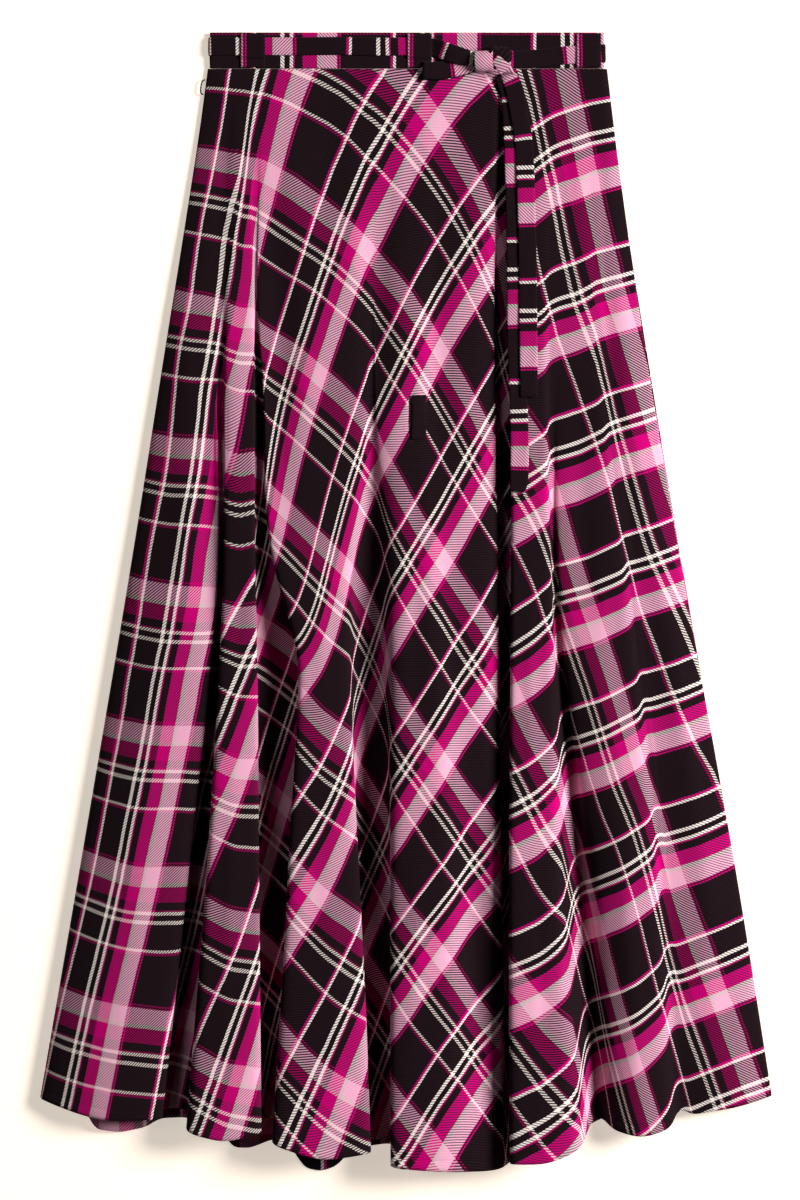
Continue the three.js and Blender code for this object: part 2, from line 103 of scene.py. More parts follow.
# Levels down the front, as fractions of the flat length from waist seam to hem
LEVELS = [0, 0.085, 0.254, 0.484, 0.755, 1]

# Flutes from left to right: crest heights in mm at each level,
# and hem rows (left edge, crest, right edge)
FLUTES = [
    {"height": [2, 4, 10, 16, 19, 22], "hem": [1096, 1119, 1117]},
    {"height": [2, 5, 13, 21, 28, 32], "hem": [1127, 1139, 1127]},
    {"height": [2, 5, 14, 23, 30, 34], "hem": [1137, 1157, 1148]},
    {"height": [2, 5, 15, 27, 32, 34], "hem": [1163, 1168, 1168]},
    {"height": [2, 5, 14, 25, 33, 36], "hem": [1160, 1160, 1144]},
    {"height": [2, 4, 11, 19, 24, 25], "hem": [1127, 1135, 1125]},
    {"height": [2, 3.5, 8.5, 13, 13, 12], "hem": [1114, 1107, 1094]},
]

# The two side edges: flat angle in degrees and picture column at each level
LEFT_EDGE = [[0.3, 210], [0.8, 197], [0.9, 169], [0.8, 132.5], [0.8, 86], [0.9, 43]]
RIGHT_EDGE = [[81.2, 605], [82.6, 618], [83.5, 645], [82.5, 684], [81.6, 731], [81.4, 770]]

# Folds between the flutes, a row for each level:
# flat angle and column of the left flute's edge, columns of the two turns under it,
# column and flat angle of the right flute's edge, and how far it sinks (1 is down to the back)
FOLDS = [
    [[6.2, 235, 239, 243, 247, 7.8, 0], [6.9, 228, 232, 236, 240, 7.9, 0],
     [7.2, 216, 219, 224, 227, 8.6, 0.25], [8, 218, 211, 235, 224, 11, 0.8],
     [8.7, 190, 180, 222, 208, 13.8, 1], [7.9, 163, 150, 203, 188, 14, 1]],
    [[10.2, 257, 261, 265, 269, 12.2, 0], [10.3, 251, 254, 260, 264, 12.1, 0.15],
     [11.2, 254, 253, 266, 262, 15.8, 0.4], [14, 257, 243, 311, 298, 25, 1],
     [16.9, 259, 232, 318, 288, 26.9, 1], [18, 262, 236, 305, 271, 26.5, 1]],
    [[33, 367, 372, 377, 382, 35.5, 0], [33, 366, 371, 376, 381, 35.5, 0],
     [32.4, 364, 369, 374, 379, 35.2, 0.1], [30.3, 349, 353, 384, 391, 38.5, 0.75],
     [32.5, 360, 345, 405, 391, 39.7, 1], [31.7, 373, 340, 424, 388, 41.5, 1]],
    [[59.2, 493, 497, 502, 506, 61.2, 0.1], [57.8, 493, 491, 514, 512, 63, 0.7],
     [55.6, 494, 480, 524, 512, 68.3, 1], [51.5, 500, 472, 533, 511, 66.2, 1],
     [48.4, 503, 475, 535, 509, 64, 1], [47.8, 502, 515, 540, 509, 62.2, 0.93]],
    [[70.2, 550, 555, 560, 565, 73, 0], [70.2, 546, 551, 556, 561, 72.8, 0],
     [71.2, 544, 548, 553, 558, 73.2, 0.15], [70.1, 551, 550, 566, 560, 71.9, 0.65],
     [66.9, 562, 572, 586, 592, 71.2, 1], [65, 580, 590, 604, 612, 70.7, 1]],
    [[77, 584, 589, 594, 598, 79.6, 0], [77, 586, 591, 596, 601, 79.6, 0],
     [77, 594, 599, 604, 609, 79.3, 0], [77.4, 624, 629, 634, 639, 79.2, 0.15],
     [76.6, 652, 656, 665, 668, 78, 0.35], [75, 669, 675, 686, 693, 77.15, 0.5]],
]

# Height of the two edges beside each fold over the crest: left flute's edge, right flute's edge
EDGE_SHARES = [[0.9, 0.95], [0.9, 1], [0.85, 1], [0.45, 1], [0.9, 0.6], [0.6, 0.6]]
SHOULDER_FALL = 0.45  # part of an edge's drop at the shoulder beside it
SHOULDER_AT = 0.22  # share of the flute's width from edge to shoulder
SHOULDER_HEM = 0.55  # share of the way from the edge's hem row to the crest's
SIDE_HEIGHT = 0.35  # share of the crest at the panel's two side edges
LOFT = 1.1  # the cloth stands a little prouder than its solid
LOFT_FULL = 0.3  # fraction down where it is fully so
SIDE_TUCK = 1.5 * MM  # each side's low edge: so far out at the waist, so far in below
SIDE_TUCK_FULL = 0.2
MOST_PUSH = 9 * MM  # most that a flute's edge is pushed out
FOLD_HEM_RISE = 10  # px that a sunken fold's hem lies above the hem beside it
BIAS_STRETCH = 0.16  # cloth on the bias hangs longer, between these flat angles
BIAS_FROM = 5
BIAS_FULL = 25
LATE_FOLD = 1  # this fold stays shut for longer, in this span of the panel
LATE_SPAN = (0.25, 0.62)
LATE = 0.112  # and by this fraction of the panel at most

# Mesh steps from each kind of knot to the next, left to right
STEPS = {"side": 2, "edge": 5, "shoulder": 4, "crest": 4, "far_shoulder": 5, "far_edge": 4, "turn": 4}


def at_level(values, t):
    """Smooth value of a table's column at fraction t down the panel."""
    i = 0
    while i < len(LEVELS) - 2 and t > LEVELS[i + 1]:
        i += 1

    def slope(k):
        a = max(0, k - 1)
        b = min(len(values) - 1, k + 1)
        return (values[b] - values[a]) / (LEVELS[b] - LEVELS[a])

    span = LEVELS[i + 1] - LEVELS[i]
    f = (t - LEVELS[i]) / span
    f2 = f * f
    f3 = f2 * f
    return (values[i] * (2 * f3 - 3 * f2 + 1) + slope(i) * span * (f3 - 2 * f2 + f)
            + values[i + 1] * (3 * f2 - 2 * f3) + slope(i + 1) * span * (f3 - f2))


def row_at(rows, t):
    return [at_level([row[column] for row in rows], t) for column in range(len(rows[0]))]


def opened(t):
    """Fraction down the panel for the fold that stays shut for longer."""
    run = clamp01((t - LATE_SPAN[0]) / (LATE_SPAN[1] - LATE_SPAN[0]))
    return t - LATE * math.sin(math.pi * run) ** 2


def y_down(hem_row, angle, t):
    """Place up the skirt that a rib of the cloth has reached at fraction t."""
    bias = BIAS_STRETCH * clamp01((angle - BIAS_FROM) / (BIAS_FULL - BIAS_FROM))
    return y_of(mix(SEAM_ROW_PX, hem_row, t + bias * t * (1 - t) * (1 - t)))


def crest_height(flute, t):
    return at_level(flute["height"], t) * MM * mix(1, LOFT, clamp01(t / LOFT_FULL))


def front_section(t):
    """Knots across the front at fraction t.

    Each has its x, y, z, flat angle or None, steps to the next knot, and whether it is an edge.
    """
    left = row_at(LEFT_EDGE, t)
    right = row_at(RIGHT_EDGE, t)
    folds = [row_at(rows, opened(t) if rows is FOLDS[LATE_FOLD] else t) for rows in FOLDS]
    tuck = mix(-SIDE_TUCK, SIDE_TUCK, clamp01(t / SIDE_TUCK_FULL))
    knots = []
    for i, flute in enumerate(FLUTES):
        crest = crest_height(flute, t)
        before = folds[i - 1] if i else None
        after = folds[i] if i < len(folds) else None
        x0 = before[4] if before else left[1]
        x1 = after[1] if after else right[1]
        angle0 = before[5] if before else left[0]
        angle1 = after[0] if after else right[0]
        hem_left, hem_crest, hem_right = flute["hem"]
        share0 = mix(1, EDGE_SHARES[i - 1][1], clamp01(before[6])) if before else SIDE_HEIGHT
        share1 = mix(1, EDGE_SHARES[i][0], clamp01(after[6])) if after else SIDE_HEIGHT

        def add(f, share, hem_row, steps, turn=False, anchor=None):
            angle = mix(angle0, angle1, f)
            knots.append((x_of(mix(x0, x1, f)), y_down(hem_row, angle, t),
                          FLOOR_Z + crest * share, anchor, steps, turn))

        if not before:
            y = y_down(hem_left, angle0, t)
            knots.append((x_of(x0) + tuck, y, FLOOR_Z, angle0, STEPS["side"], False))
        closer = TUCK_STEPS if i == TUCK_FLUTE else 0
        add(0, share0, hem_left, STEPS["edge"] + closer, True, angle0 if before else None)
        add(SHOULDER_AT, mix(1, share0, SHOULDER_FALL), mix(hem_left, hem_crest, SHOULDER_HEM),
            STEPS["shoulder"] + closer)
        add(0.5, 1, hem_crest, STEPS["crest"])
        add(1 - SHOULDER_AT, mix(1, share1, SHOULDER_FALL), mix(hem_right, hem_crest, SHOULDER_HEM),
            STEPS["far_shoulder"])
        add(1, share1, hem_right, STEPS["far_edge" if after else "side"], True, angle1 if after else None)
        if not after:
            y = y_down(hem_right, angle1, t)
            knots.append((x_of(x1) - tuck, y, FLOOR_Z, angle1, 0, False))
            continue
        following = FLUTES[i + 1]
        sink = clamp01(after[6])
        level = mix(crest, crest_height(following, t), 0.5) * (1 - sink)
        hem_row = min(hem_right, following["hem"][0]) - FOLD_HEM_RISE * sink
        y = y_down(hem_row, mix(after[0], after[5], 0.5), t)
        for column in (after[2], after[3]):
            knots.append((x_of(column), y, FLOOR_Z + level, None, STEPS["turn"], False))
    return knots


def spline_points(knots):
    """Uniform cubic B-spline along the knots; returns points and the flat angle at each."""
    vectors = np.array([knot[:3] for knot in knots])
    controls = vectors.copy()
    for i, knot in enumerate(knots):
        if knot[5]:
            push = (vectors[i, 0] - (vectors[i - 1, 0] + vectors[i + 1, 0]) / 2) / 2
            controls[i, 0] += max(-MOST_PUSH, min(MOST_PUSH, push))
    padded = np.vstack([2 * controls[0] - controls[1], controls, 2 * controls[-1] - controls[-2]])
    points = []
    anchors = []
    for i in range(len(controls) - 1):
        steps = knots[i][4]
        for s in range(steps):
            f = s / steps
            weights = np.array([(1 - f) ** 3, 3 * f ** 3 - 6 * f * f + 4,
                                -3 * f ** 3 + 3 * f * f + 3 * f + 1, f ** 3]) / 6
            points.append(weights @ padded[i:i + 4])
            anchors.append(knots[i][3] if s == 0 else None)
    points.append(vectors[-1])
    anchors.append(knots[-1][3])
    points = np.array(points)
    run = run_along(points[:, [0, 2]])
    known = [i for i, anchor in enumerate(anchors) if anchor is not None]
    angles = np.interp(run, run[known], [anchors[i] for i in known])
    return points, angles


# Small creases placed on the front: start column and row, end column and row,
# half width in px, height in mm (a trough is negative)
CREASES = [
    [300, 110, 285, 300, 9, 0.8], [330, 95, 322, 240, 8, -0.7], [352, 120, 356, 330, 11, 0.9],
    [385, 100, 392, 260, 9, -0.8], [428, 110, 424, 330, 10, 0.9], [455, 95, 459, 240, 8, -0.7],
    [474, 150, 478, 420, 8, 0.8], [240, 90, 232, 230, 6, 0.6], [226, 130, 214, 330, 7, -0.7],
    [192, 240, 176, 470, 8, 0.8], [182, 380, 158, 640, 10, -0.8], [150, 620, 118, 900, 10, 0.9],
    [134, 800, 100, 1080, 11, -0.9], [165, 560, 150, 830, 8, 0.7], [240, 520, 240, 760, 6, -0.7],
    [236, 780, 224, 1060, 7, 0.8], [318, 480, 322, 700, 8, 0.8], [328, 720, 312, 980, 9, -0.9],
    [334, 900, 340, 1130, 8, 0.8], [418, 470, 414, 740, 9, -0.9], [440, 560, 444, 860, 11, 0.9],
    [470, 440, 472, 700, 8, -0.8], [418, 820, 412, 1090, 9, 0.9], [462, 780, 466, 1060, 9, -0.9],
    [528, 560, 530, 800, 6, 0.7], [536, 860, 546, 1090, 7, -0.8], [586, 440, 604, 640, 9, 0.8],
    [606, 560, 624, 760, 8, -0.7], [600, 250, 616, 430, 9, -0.7], [622, 350, 642, 560, 8, 0.8],
    [648, 560, 668, 760, 9, -0.8], [622, 820, 634, 1080, 8, 0.9], [690, 740, 716, 980, 10, 0.9],
    [710, 900, 734, 1090, 9, -0.8], [672, 620, 690, 800, 7, 0.7], [576, 120, 584, 300, 8, 0.7],
    # long soft troughs from the hip down
    [278, 190, 280, 560, 17, -4.5], [378, 180, 376, 470, 15, -4.0], [376, 420, 384, 640, 13, -3.0],
    [432, 170, 446, 540, 17, -4.0], [446, 480, 462, 800, 16, -5.0], [467, 740, 483, 1130, 17, -8.0],
    [222, 350, 203, 640, 12, -4.0], [578, 380, 592, 660, 15, -2.5],
]

CREASE_FADE = 0.8  # powers of the fade towards the ends
TUCK_FADE = 0.5

# Short tuck right of the middle: column, top and low row, half width in px, depth in mm,
# and the lip beside it: height in mm, distance and half width in px
TUCK = {"column": 413, "top": 396, "low": 440, "half": 2.6, "depth": 5.5,
        "lip": 1.6, "lip_off": 6, "lip_half": 4}
TUCK_FLUTE = 3  # the flute it is in gets closer columns at its left
TUCK_STEPS = 8

# How the plaid has shifted on the cloth: fraction down the panel, flat angle,
# and the shift there along the radius (px) and round it (degrees)
STRETCH = [
    [0.09, 15.1, -2, 1.4], [0.10, 78.6, -1, 1.3], [0.23, 10.9, 2, 0.8], [0.23, 81.6, 9, 0.3],
    [0.23, 45.9, -2, -1.0], [0.27, 25.0, 10, -0.4], [0.36, 8.6, 8, -1.1], [0.36, 83.4, 10, 0.9],
    [0.39, 71.4, 2, -1.1], [0.42, 45.3, -4, 0.3], [0.45, 29.9, 10, 0.3], [0.50, 7.0, 5, 0.1],
    [0.51, 74.5, 8, -0.6], [0.56, 65.3, 8, -1.2], [0.57, 25.2, 7, -1.2], [0.63, 6.0, 2, -1.0],
    [0.64, 76.7, 6, -0.2], [0.61, 45.0, -6, 0.5], [0.66, 14.1, 11, -0.4], [0.77, 5.2, 4, -1.4],
    [0.75, 28.6, 2, -0.7], [0.80, 44.8, -8, 1.2], [0.90, 4.6, 2, -0.4], [0.95, 17.0, 8, 0.1],
    [0.94, 31.0, -6, 0.3],
]
STRETCH_REACH = (0.10, 7)  # how far each row reaches, down the panel and round it
STRETCH_EASE = 0.15  # weight of no shift at all

# How far the plaid has slipped over the soft folds: column, row, and the slip right and down
SLIP = [
    [208, 180, -8, -4], [203, 295, -15, -8], [175, 250, -3, -5], [160, 350, -2, -9], [155, 410, -3, -14],
    [158, 500, -6, -17], [205, 510, 1, -9], [135, 610, -9, -17], [170, 590, -8, -12], [115, 700, -4, -14],
    [150, 730, -3, -7], [105, 780, 0, -11], [195, 770, -4, -2], [105, 850, 3, -5], [225, 850, -6, 3],
    [222, 970, -10, 6], [222, 1060, -6, 5], [135, 1060, 0, 5], [340, 590, -5, 1], [400, 590, 5, -2],
    [415, 680, 5, -4], [400, 760, 8, -3], [445, 760, 6, -1], [355, 850, -5, 0], [410, 860, 5, -3],
    [445, 960, 2, 7], [455, 1070, 0, 12], [520, 545, -11, 10], [525, 1050, -1, 6], [583, 560, 4, 4],
    [655, 610, 8, 0], [670, 710, 10, -2], [640, 880, -4, 3], [692, 870, 8, -2], [705, 960, 6, 3],
    [710, 1070, 6, 8], [575, 450, -1, 5], [420, 340, 4, -1], [365, 250, 2, -4], [300, 130, 0, 4],
    [590, 200, -2, 4], [310, 1040, 2, 4], [395, 1030, -2, 3], [525, 780, 1, 0], [610, 700, 2, 1],
    [480, 560, -4, 0], [615, 400, -4, 2], [570, 805, 6, -2],
]
SLIP_REACH = (32, 55)  # across and down, in px
SLIP_EASE = 0.12


def table_shift(table, reach, ease, a, b):
    """Two shifts at places a, b: the table's, weighed by how near each row is."""
    total = np.full_like(b, ease)
    first = np.zeros_like(b)
    second = np.zeros_like(b)
    for at_a, at_b, value_1, value_2 in table:
        weight = np.exp(-((a - at_a) / reach[0]) ** 2 - ((b - at_b) / reach[1]) ** 2)
        total += weight
        first += weight * value_1
        second += weight * value_2
    return first / total, second / total


def crease_height(columns, rows):
    """Height in metres that the listed creases add at these picture places."""
    height = np.zeros_like(columns)
    for c0, r0, c1, r1, half, size in CREASES:
        along = np.array([c1 - c0, r1 - r0], dtype=float)
        length = np.linalg.norm(along)
        along /= length
        dx = columns - c0
        dy = rows - r0
        run = (dx * along[0] + dy * along[1]) / length
        off = dx * -along[1] + dy * along[0]
        fade = np.sin(np.pi * np.clip(run, 0, 1)) ** CREASE_FADE
        height += size * MM * fade * np.exp(-(off / half) ** 2)
    run = (rows - TUCK["top"]) / (TUCK["low"] - TUCK["top"])
    fade = np.sin(np.pi * np.clip(run, 0, 1)) ** TUCK_FADE
    off = columns - TUCK["column"]
    height -= TUCK["depth"] * MM * fade * np.exp(-(off / TUCK["half"]) ** 2)
    height += TUCK["lip"] * MM * fade * np.exp(-((off - TUCK["lip_off"]) / TUCK["lip_half"]) ** 2)
    return height


def grid_normals(grid):
    return unit(np.cross(np.gradient(grid, axis=0), np.gradient(grid, axis=1)))


def add_mesh(name, points, faces, uv, material, node):
    """Smooth mesh that takes a node's place; uv is each point's place in the plaid's repeat."""
    mesh = bpy.data.meshes.new(name)
    mesh.from_pydata(points.tolist(), [], faces)
    layer = mesh.uv_layers.new(name="plaid")
    loops = np.zeros(len(mesh.loops), dtype=np.int32)
    mesh.loops.foreach_get("vertex_index", loops)
    layer.data.foreach_set("uv", uv[loops].astype(np.float32).ravel())
    mesh.polygons.foreach_set("use_smooth", np.ones(len(mesh.polygons), dtype=bool))
    mesh.materials.append(material)
    piece = placed(name, mesh)
    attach(piece, "root")
    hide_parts(node)
    return piece


def shell_mesh(name, grid, uv, wall, node):
    """Closed thin shell of plaid cloth from a grid of middle points."""
    rows, columns = grid.shape[:2]
    normal = grid_normals(grid)
    outer = (grid + normal * wall / 2).reshape(-1, 3)
    inner = (grid - normal * wall / 2).reshape(-1, 3)
    count = rows * columns
    index = np.arange(count).reshape(rows, columns)
    a = index[:-1, :-1].ravel()
    b = index[1:, :-1].ravel()
    c = index[1:, 1:].ravel()
    d = index[:-1, 1:].ravel()
    faces = [np.stack([a, b, c, d], 1), np.stack([a, d, c, b], 1) + count]
    rim = np.concatenate([index[0, :-1], index[:-1, -1], index[-1, :0:-1], index[:0:-1, 0]])
    following = np.roll(rim, -1)
    faces.append(np.stack([rim, following, following + count, rim + count], 1))
    both = np.vstack([outer, inner])
    faces = np.vstack(faces).tolist()
    return add_mesh(name, both, faces, np.vstack([uv.reshape(-1, 2)] * 2), PLAID, node)


# Plaid: yarn order in px along one repeat, the same both ways
REPEAT = 140.5
SETT = [
    ("magenta", 2.2), ("white", 3), ("black", 24.5), ("white", 4.2), ("black", 5.6), ("white", 3),
    ("magenta", 1.8), ("black", 7.7), ("magenta", 14.5), ("grey", 4), ("lilac", 16), ("magenta", 1.2),
    ("black", 1.2), ("magenta", 1.2), ("black", 50.4),
]
FIRST_WHITE_PX = 3.75  # middle of the first white line in the repeat
FIRST_WHITE = FIRST_WHITE_PX / REPEAT
BLACK_MIDDLE = 0.84  # middle of the widest black, as a share of the repeat


def srgb(r, g, b):
    def linear(value):
        value /= 255
        return value / 12.92 if value <= 0.04045 else ((value + 0.055) / 1.055) ** 2.4
    return (linear(r), linear(g), linear(b), 1)


WARP = {"black": srgb(18, 11, 14), "magenta": srgb(200, 0, 116), "white": srgb(250, 238, 232),
        "grey": srgb(200, 188, 184), "lilac": srgb(240, 174, 202)}
WEFT = {"black": srgb(36, 20, 27), "magenta": srgb(166, 0, 94), "white": srgb(246, 232, 224),
        "grey": srgb(196, 184, 180), "lilac": srgb(230, 166, 194)}
TWILL_PITCH = 3.3  # px between twill lines
WARP_COVER = 0.66  # share of the face that the warp shows
TWILL_EDGE = 0.55  # how sharply warp and weft alternate
WANDER = {"scale": 60, "detail": 1, "share": 0.010}
FUZZ = {"scale": 900, "detail": 3, "least": 0.42, "share": 0.03, "colour": srgb(150, 112, 132)}
RELIEF = {"strength": 0.35, "distance": 0.0004, "twill": 0.35}
CLOTH_LOOK = {"Roughness": 0.92, "Specular IOR Level": 0.04, "Sheen Weight": 0.02, "Sheen Roughness": 0.5}


class Nodes:
    """Small helper to write a material's node tree."""

    def __init__(self, name):
        self.material = bpy.data.materials.new(name)
        self.material.use_nodes = True
        self.tree = self.material.node_tree
        self.shader = self.tree.nodes["Principled BSDF"]

    def add(self, kind, **values):
        node = self.tree.nodes.new(kind)
        for key, value in values.items():
            setattr(node, key, value)
        return node

    def put(self, socket, value):
        if isinstance(value, (int, float, tuple)):
            socket.default_value = value
        elif value is not None:
            self.tree.links.new(value, socket)

    def look(self, values):
        for socket, value in values.items():
            self.put(self.shader.inputs[socket], value)

    def math(self, operation, a, b=None, c=None, clamp=False):
        node = self.add("ShaderNodeMath", operation=operation, use_clamp=clamp)
        for socket, value in zip(node.inputs, (a, b, c)):
            self.put(socket, value)
        return node.outputs[0]

    def noise(self, place, scale, detail):
        node = self.add("ShaderNodeTexNoise")
        for socket, value in (("Scale", scale), ("Detail", detail), ("Vector", place)):
            self.put(node.inputs[socket], value)
        return node.outputs[0]

    def mix_colour(self, factor, a, b):
        node = self.add("ShaderNodeMix", data_type="RGBA", blend_type="MIX")
        for socket, value in ((0, factor), (6, a), (7, b)):
            self.put(node.inputs[socket], value)
        return node.outputs[2]


def yarn_ramp(nodes, place, colours):
    """Colour of the yarn at each place, 0 to 1, in the repeat."""
    ramp = nodes.add("ShaderNodeValToRGB")
    ramp.color_ramp.interpolation = "CONSTANT"
    elements = ramp.color_ramp.elements
    elements.remove(elements[1])
    run = 0
    for i, (yarn, width) in enumerate(SETT):
        element = elements[0] if i == 0 else elements.new(run / REPEAT)
        element.position = run / REPEAT
        element.color = colours[yarn]
        run += width
    nodes.put(ramp.inputs[0], place)
    return ramp.outputs[0]


def plaid_material(name):
    """Twill of charted warp and weft yarns, with a brushed face."""
    nodes = Nodes(name)
    uv = nodes.add("ShaderNodeUVMap", uv_map="plaid")
    split = nodes.add("ShaderNodeSeparateXYZ")
    nodes.put(split.inputs[0], uv.outputs[0])
    place = nodes.add("ShaderNodeTexCoord").outputs["Object"]

    # Yarns wander a little, so the stripes' edges aren't ruled
    wander = nodes.noise(place, WANDER["scale"], WANDER["detail"])
    shift = nodes.math("MULTIPLY", nodes.math("SUBTRACT", wander, 0.5), WANDER["share"])
    warp_place = nodes.math("FRACT", nodes.math("ADD", split.outputs[0], shift))
    weft_place = nodes.math("FRACT", nodes.math("SUBTRACT", split.outputs[1], shift))
    warp = yarn_ramp(nodes, warp_place, WARP)
    weft = yarn_ramp(nodes, weft_place, WEFT)

    # Twill lines: where the warp lies on top
    lean = nodes.math("SUBTRACT", split.outputs[0], split.outputs[1])
    wave = nodes.math("SINE", nodes.math("MULTIPLY", lean, 2 * math.pi * REPEAT / TWILL_PITCH))
    cover = nodes.math("MULTIPLY_ADD", wave, TWILL_EDGE, WARP_COVER, clamp=True)
    colour = nodes.mix_colour(cover, weft, warp)

    # Brushed pile: a pale fuzz that softens the dark yarns, in soft patches
    fuzz = nodes.noise(place, FUZZ["scale"], FUZZ["detail"])
    over = nodes.math("SUBTRACT", fuzz, FUZZ["least"])
    share = nodes.math("MULTIPLY", over, FUZZ["share"], clamp=True)
    colour = nodes.mix_colour(share, colour, FUZZ["colour"])

    # Relief: twill ridges and pile
    bump = nodes.add("ShaderNodeBump")
    relief = nodes.math("MULTIPLY_ADD", wave, RELIEF["twill"], fuzz)
    bump.inputs["Strength"].default_value = RELIEF["strength"]
    bump.inputs["Distance"].default_value = RELIEF["distance"]
    nodes.put(bump.inputs["Height"], relief)
    nodes.look(CLOTH_LOOK)
    nodes.look({"Base Color": colour, "Normal": bump.outputs[0]})
    return nodes.material


PLAID = plaid_material("plaid_twill")

# Front panel
FRONT_ROWS = 205
FRONT_ROWS_END = 0.98  # where the hem's closer rows start
HEM_ROWS = [0.984, 0.9875, 0.9895, 0.9905, 0.9915, 0.9935, 0.997, 1]
HEM_STITCH = 0.9905
HEM_STITCH_WIDTH = 0.0012
HEM_STITCH_DEPTH = 0.45 * MM
HEM_PUCKER_PX = 23  # between puckers, which drift over a longer wave
HEM_DRIFT_PX = 31
HEM_PUCKER = 0.4  # share of the stitch's depth that varies
HEM_SWELL = 0.4 * MM  # puffs below the stitching, full after this fraction
HEM_SWELL_RUN = 0.004
PLAID_ACROSS = 137  # px of the flat pattern in one repeat, across and down
PLAID_DOWN = 142.5
PLAID_START = (26, -293)  # px from the apex to a crossing of two first white lines


def front_grid():
    """Middle points of the front's cloth, and the place of each in the plaid's repeat."""
    grid = []
    flat = []
    stitch = []
    for t in [FRONT_ROWS_END * r / FRONT_ROWS for r in range(FRONT_ROWS + 1)] + HEM_ROWS:
        points, angles = spline_points(front_section(t))
        along, turn = table_shift(STRETCH, STRETCH_REACH, STRETCH_EASE, t, angles)
        radius = mix(APEX_TO_SEAM, APEX_TO_HEM, t) + along
        angles = angles + turn
        u = radius * np.sin(np.radians(angles))
        grid.append(points)
        flat.append(np.stack([radius, angles], 1))
        depth = math.exp(-((t - HEM_STITCH) / HEM_STITCH_WIDTH) ** 2)
        pucker = 0.5 + 0.5 * np.sin(u * 2 * math.pi / HEM_PUCKER_PX + 2 * np.sin(u / HEM_DRIFT_PX))
        swell = HEM_SWELL * clamp01((t - HEM_STITCH) / HEM_SWELL_RUN) * pucker
        stitch.append(-HEM_STITCH_DEPTH * depth * (1 - HEM_PUCKER + HEM_PUCKER * pucker) + swell)
    grid = np.array(grid)
    flat = np.array(flat)
    normal = grid_normals(grid)
    columns = column_of(grid[..., 0])
    rows = CENTRE_ROW_PX - grid[..., 1] / SCALE
    across, down = table_shift(SLIP, SLIP_REACH, SLIP_EASE, columns, rows)
    turned = np.radians(flat[..., 1]) + across / flat[..., 0]
    radius = flat[..., 0] + down
    u = radius * np.sin(turned)
    v = -radius * np.cos(turned)
    uv = np.stack([(u - PLAID_START[0]) / PLAID_ACROSS, (v - PLAID_START[1]) / PLAID_DOWN], 2)
    uv += FIRST_WHITE
    height = crease_height(columns, rows)
    facing = np.clip(normal[..., 2:3], 0, 1)
    grid = grid + normal * ((height + np.array(stitch))[..., None] * facing)
    return grid, uv


FRONT_GRID, FRONT_UV = front_grid()
skirt_front = shell_mesh("skirt_front_cloth", FRONT_GRID, FRONT_UV, CLOTH, "skirt_front")

# Flap beside the tuck, black all over as painted shade for the tuck's dark slit: columns, rise of its left
# side and fall of its right side in mm, reach in mm of the cloth that it rests on, and the part of an arch
# down it
FLAP = {"left": 411.6, "right": 426, "lift": 1.5, "sink": 1.1, "reach": 6, "arch": (0.18, 0.9)}
FLAP_STEPS = (12, 30)
FLAP_SHADE_BLACK_PX = 418  # column and row where it shows the middle of the widest black: painted shade of the slit


def painted_shade_tuck_flap():
    across, down = np.meshgrid(*[np.linspace(0, 1, steps + 1) for steps in FLAP_STEPS])
    column = mix(FLAP["left"], FLAP["right"], across)
    row = mix(TUCK["top"], TUCK["low"], down)
    x = x_of(column)
    y = y_of(row)
    cloth = FRONT_GRID.reshape(-1, 3)
    height = np.zeros_like(x)
    for place in np.ndindex(x.shape):
        far = np.hypot(cloth[:, 0] - x[place], cloth[:, 1] - y[place])
        height[place] = cloth[far < FLAP["reach"] * MM, 2].max()
    arch = np.sin(np.pi * mix(*FLAP["arch"], down)) ** TUCK_FADE
    raised = mix(FLAP["lift"], -FLAP["sink"], across) * arch
    grid = np.stack([x, y, height + raised * MM], 2)
    # The flap's places stay in the plaid's widest black: painted shade for the tuck's dark slit
    uv = np.stack([(column - FLAP_SHADE_BLACK_PX) / PLAID_ACROSS, (row - FLAP_SHADE_BLACK_PX) / PLAID_DOWN], 2)
    return shell_mesh("painted_shade_tuck_flap", grid, uv + BLACK_MIDDLE, CLOTH, "skirt_front")


painted_shade_tuck_flap()

# Back panel: flat, with low arches inside the front's flutes
BACK_ROWS = 60
BACK_COLUMNS = 260
BACK_WALL = SOLID_WALL * 0.9
BACK_START_PX = 186  # column where the repeat starts, seen from the front
BACK_HEM_PX = 1126  # row of the hem there, and px into the repeat at that row
BACK_HEM_PLACE = 78.5
HEM_BLUR = 7  # columns that soften the corners of the hem's table
BACK_INSET_PX = 2
BACK_ARCH_SHARE = 0.3  # an arch's height as a share of its flute's
BACK_ARCH_SLOPE = 0.1  # and at most this share of its width
BACK_ARCH_MARGIN_PX = 9
BACK_ARCH_FROM = 0.35  # fraction down where the arches start to rise

# Hem of the back panel: picture column and row
BACK_HEM = [
    [43, 1094], [84, 1104], [94, 1128], [120, 1132], [146, 1127], [160, 1118], [186, 1117], [222, 1128],
    [231, 1147], [250, 1148], [275, 1138], [294, 1150], [303, 1167], [320, 1171], [337, 1166],
    [352, 1148], [388, 1143], [430, 1150], [505, 1152], [562, 1138], [604, 1117], [680, 1105], [770, 1091],
]


